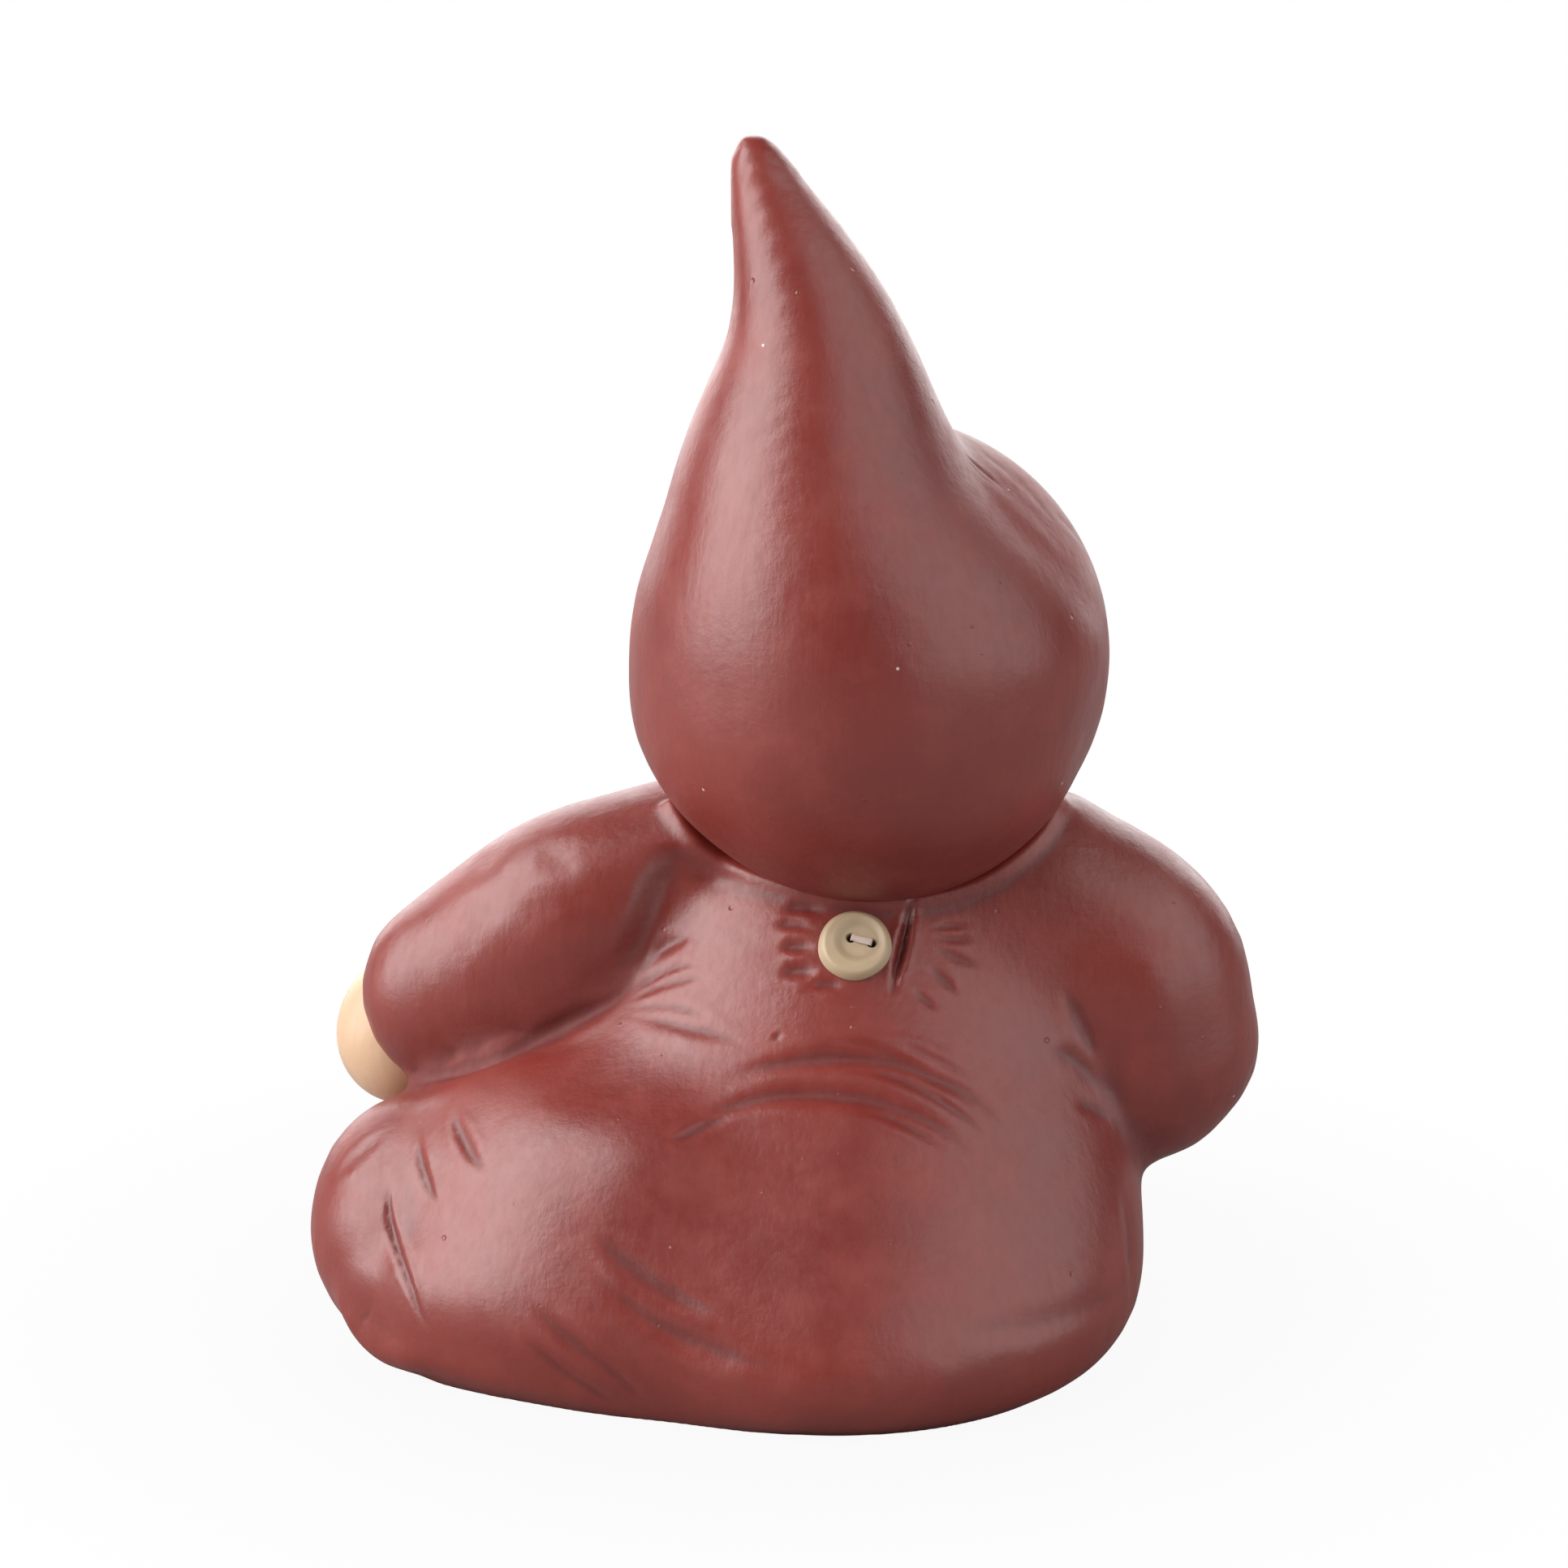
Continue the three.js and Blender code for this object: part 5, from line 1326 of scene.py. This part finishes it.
def button_mesh(rings=150, sides=240):
    """The disc of the button, and the painted shade at each of its points."""
    angle = np.arange(sides) / sides * 2 * math.pi
    c, s = circle(sides)
    edge = (BUTTON_RADIUS + 0.05 * np.sin(2 * angle + 0.6) + 0.03 * np.sin(5 * angle))[None, :]
    r = edge * np.linspace(0.003, 1, rings)[:, None]
    x, y = r * c, r * s
    top = BUTTON_TOP - EDGE_FALL * np.clip((r - EDGE_FROM) / EDGE_WIDTH, 0, 1) ** EDGE_BEND
    dish = np.hypot((x - DISH[0]) / DISH[2], (y - DISH[1]) / DISH[3])
    z = top - (top - DISH_FLOOR) * eased((WALL_FROM - dish) / WALL_WIDTH)
    pit = np.max([np.exp(-((np.hypot(x - hx, y - hy) / hr) ** 6)) for hx, hy, hr in HOLES], axis=0)
    points = [np.stack([x, y, z - HOLE_DEPTH * pit], axis=-1)]
    points += [np.stack([edge * f * c, edge * f * s, 0 * edge + h], axis=-1) for f, h in UNDERSIDE]
    points = np.concatenate(points)
    shade_marks = np.maximum(pit, DISH_FOOT_SHADE[2] * bell(dish - DISH_FOOT_SHADE[0], DISH_FOOT_SHADE[1])).ravel()
    shade_marks = [0, *shade_marks, *[UNDERSIDE_SHADE] * (sides * len(UNDERSIDE)), BACK_SHADE]
    middle, back = [0, 0, points[0, :, 2].mean()], [0, 0, UNDERSIDE[-1][1]]
    return *ring_surface(from_button(points), from_button(middle), from_button(back)), shade_marks


# The bar: half width and half height, height over the dish, share of its length that bends down.
BAR = (0.40, 0.22)
BAR_LIFT, BAR_END, BAR_BEND = 0.26, 0.20, 0.75
# It starts and ends inside the holes.
BAR_LENGTH, BAR_START = 1.16, -0.08
# The strands of the bar: how many, how deep between them, twist from end to end.
STRANDS, STRAND_DEPTH, STRAND_TWIST = 3, 0.10, 5


def thread_mesh(steps=60, sides=28):
    """A flat bar of a few strands from one hole to the other."""
    a, b = (np.array([x, y, 0.0]) for x, y, _ in HOLES)
    along = (b - a) / np.linalg.norm(b - a)
    across, up = np.array([-along[1], along[0], 0.0]), np.array([0, 0, 1.0])
    angle = np.arange(sides) / sides * 2 * math.pi
    rings = []
    for share in np.linspace(0, 1, steps):
        end = max(0.0, abs(share - 0.5) * 2 - (1 - BAR_END)) / BAR_END
        centre = a + (b - a) * np.clip(share * BAR_LENGTH + BAR_START, 0, 1)
        centre = centre + up * (DISH_FLOOR + BAR_LIFT - BAR_BEND * end)
        strand = 1 + STRAND_DEPTH * np.cos(STRANDS * angle + share * STRAND_TWIST)
        wide, high = BAR[0] * np.cos(angle) * strand, BAR[1] * np.sin(angle) * strand
        rings.append(centre + wide[:, None] * across + high[:, None] * up)
    rings = from_button(rings)
    return ring_surface(rings, rings[0].mean(axis=0), rings[-1].mean(axis=0))


points, faces, shade_marks = button_mesh()
dressed("button_disc", points, faces, button_paint, "back_button", "button_paint", {"hollow": shade_marks})
points, faces = thread_mesh()
plain = {"hollow": np.zeros(len(points))}
dressed("thread_bar", points, faces, thread_paint, "button_thread", "thread_paint", plain)

# Light.

LIGHT_TARGET = Vector((0, 0, 0.065))
# Soft boxes: azimuth from +Y towards +X and elevation in degrees, distance, width, height, radiance.
SOFT_BOXES = {
    "left_box": (74, 27, 0.9, 0.9, 1.2, 4.5),
    "right_box": (-58, 24, 0.9, 1.3, 1.1, 1.35),
    "back_wall": (180, 18, 1.3, 2.6, 1.6, 2.7),
}
WORLD_LIGHT = (0.07, 0.07, 0.07, 1)
WHITE = (1, 1, 1, 1)
# The floor: half size, colour, and where round the figure it turns to pure white.
FLOOR_HALF = 6.0
FLOOR_GREY = (0.3, 0.3, 0.3, 1)
FLOOR_ROUGHNESS = 0.9
WHITE_NEAR, WHITE_FAR, WHITE_LEAST = 0.03, 0.13, 0.93


def soft_box(name, azimuth, elevation, distance, width, height, radiance):
    """A soft box that is seen from the figure in a direction and lights it."""
    a, e = math.radians(azimuth), math.radians(elevation)
    way = Vector((math.cos(e) * math.sin(a), math.cos(e) * math.cos(a), math.sin(e)))
    light = bpy.data.lights.new(name, "AREA")
    light.shape = "RECTANGLE"
    light.size, light.size_y = width, height
    light.energy = radiance * math.pi * width * height
    box = bpy.data.objects.new(name, light)
    box.location = LIGHT_TARGET + way * distance
    box.rotation_euler = (-way).to_track_quat("-Z", "Y").to_euler()
    box.visible_camera = False
    bpy.context.scene.collection.objects.link(box)


def studio_world():
    """A dim world that the camera sees as white."""
    world = bpy.data.worlds.new("studio")
    bpy.context.scene.world = world
    tree = Tree(world)
    colour = tree.mixed(tree.made("LightPath", "Is Camera Ray"), WORLD_LIGHT, WHITE)
    tree.set(tree.nodes["Background"].inputs["Color"], colour)


def floor_paint():
    """Grey for the light, and nearly white where the camera sees it."""
    p = Paint("floor_paint")
    p.shader.inputs["Base Color"].default_value = FLOOR_GREY
    p.shader.inputs["Roughness"].default_value = FLOOR_ROUGHNESS
    place = p.made("NewGeometry", "Position")
    away = p.made("VectorMath", "Value", {0: place}, operation="LENGTH")
    fade = p.ranged(away, WHITE_NEAR, WHITE_FAR, WHITE_LEAST, 1.0, interpolation_type="SMOOTHSTEP")
    share = p.sum("MULTIPLY", fade, p.made("LightPath", "Is Camera Ray"))
    glow = p.made("Emission", 0)
    mixed = p.made("MixShader", 0, {0: share, 1: p.shader.outputs[0], 2: glow})
    p.set(p.nodes["Material Output"].inputs["Surface"], mixed)
    return p.material


for name, values in SOFT_BOXES.items():
    soft_box(name, *values)
studio_world()
corners = np.array([[-1, -1, 0], [1, -1, 0], [1, 1, 0], [-1, 1, 0]]) * FLOOR_HALF
floor = mesh_object("floor", corners / MM - SHIFT, [[0, 1, 2, 3]])
floor.data.materials.append(floor_paint())
floor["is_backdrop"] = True
bpy.context.scene.view_settings.view_transform = "Standard"

low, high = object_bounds()
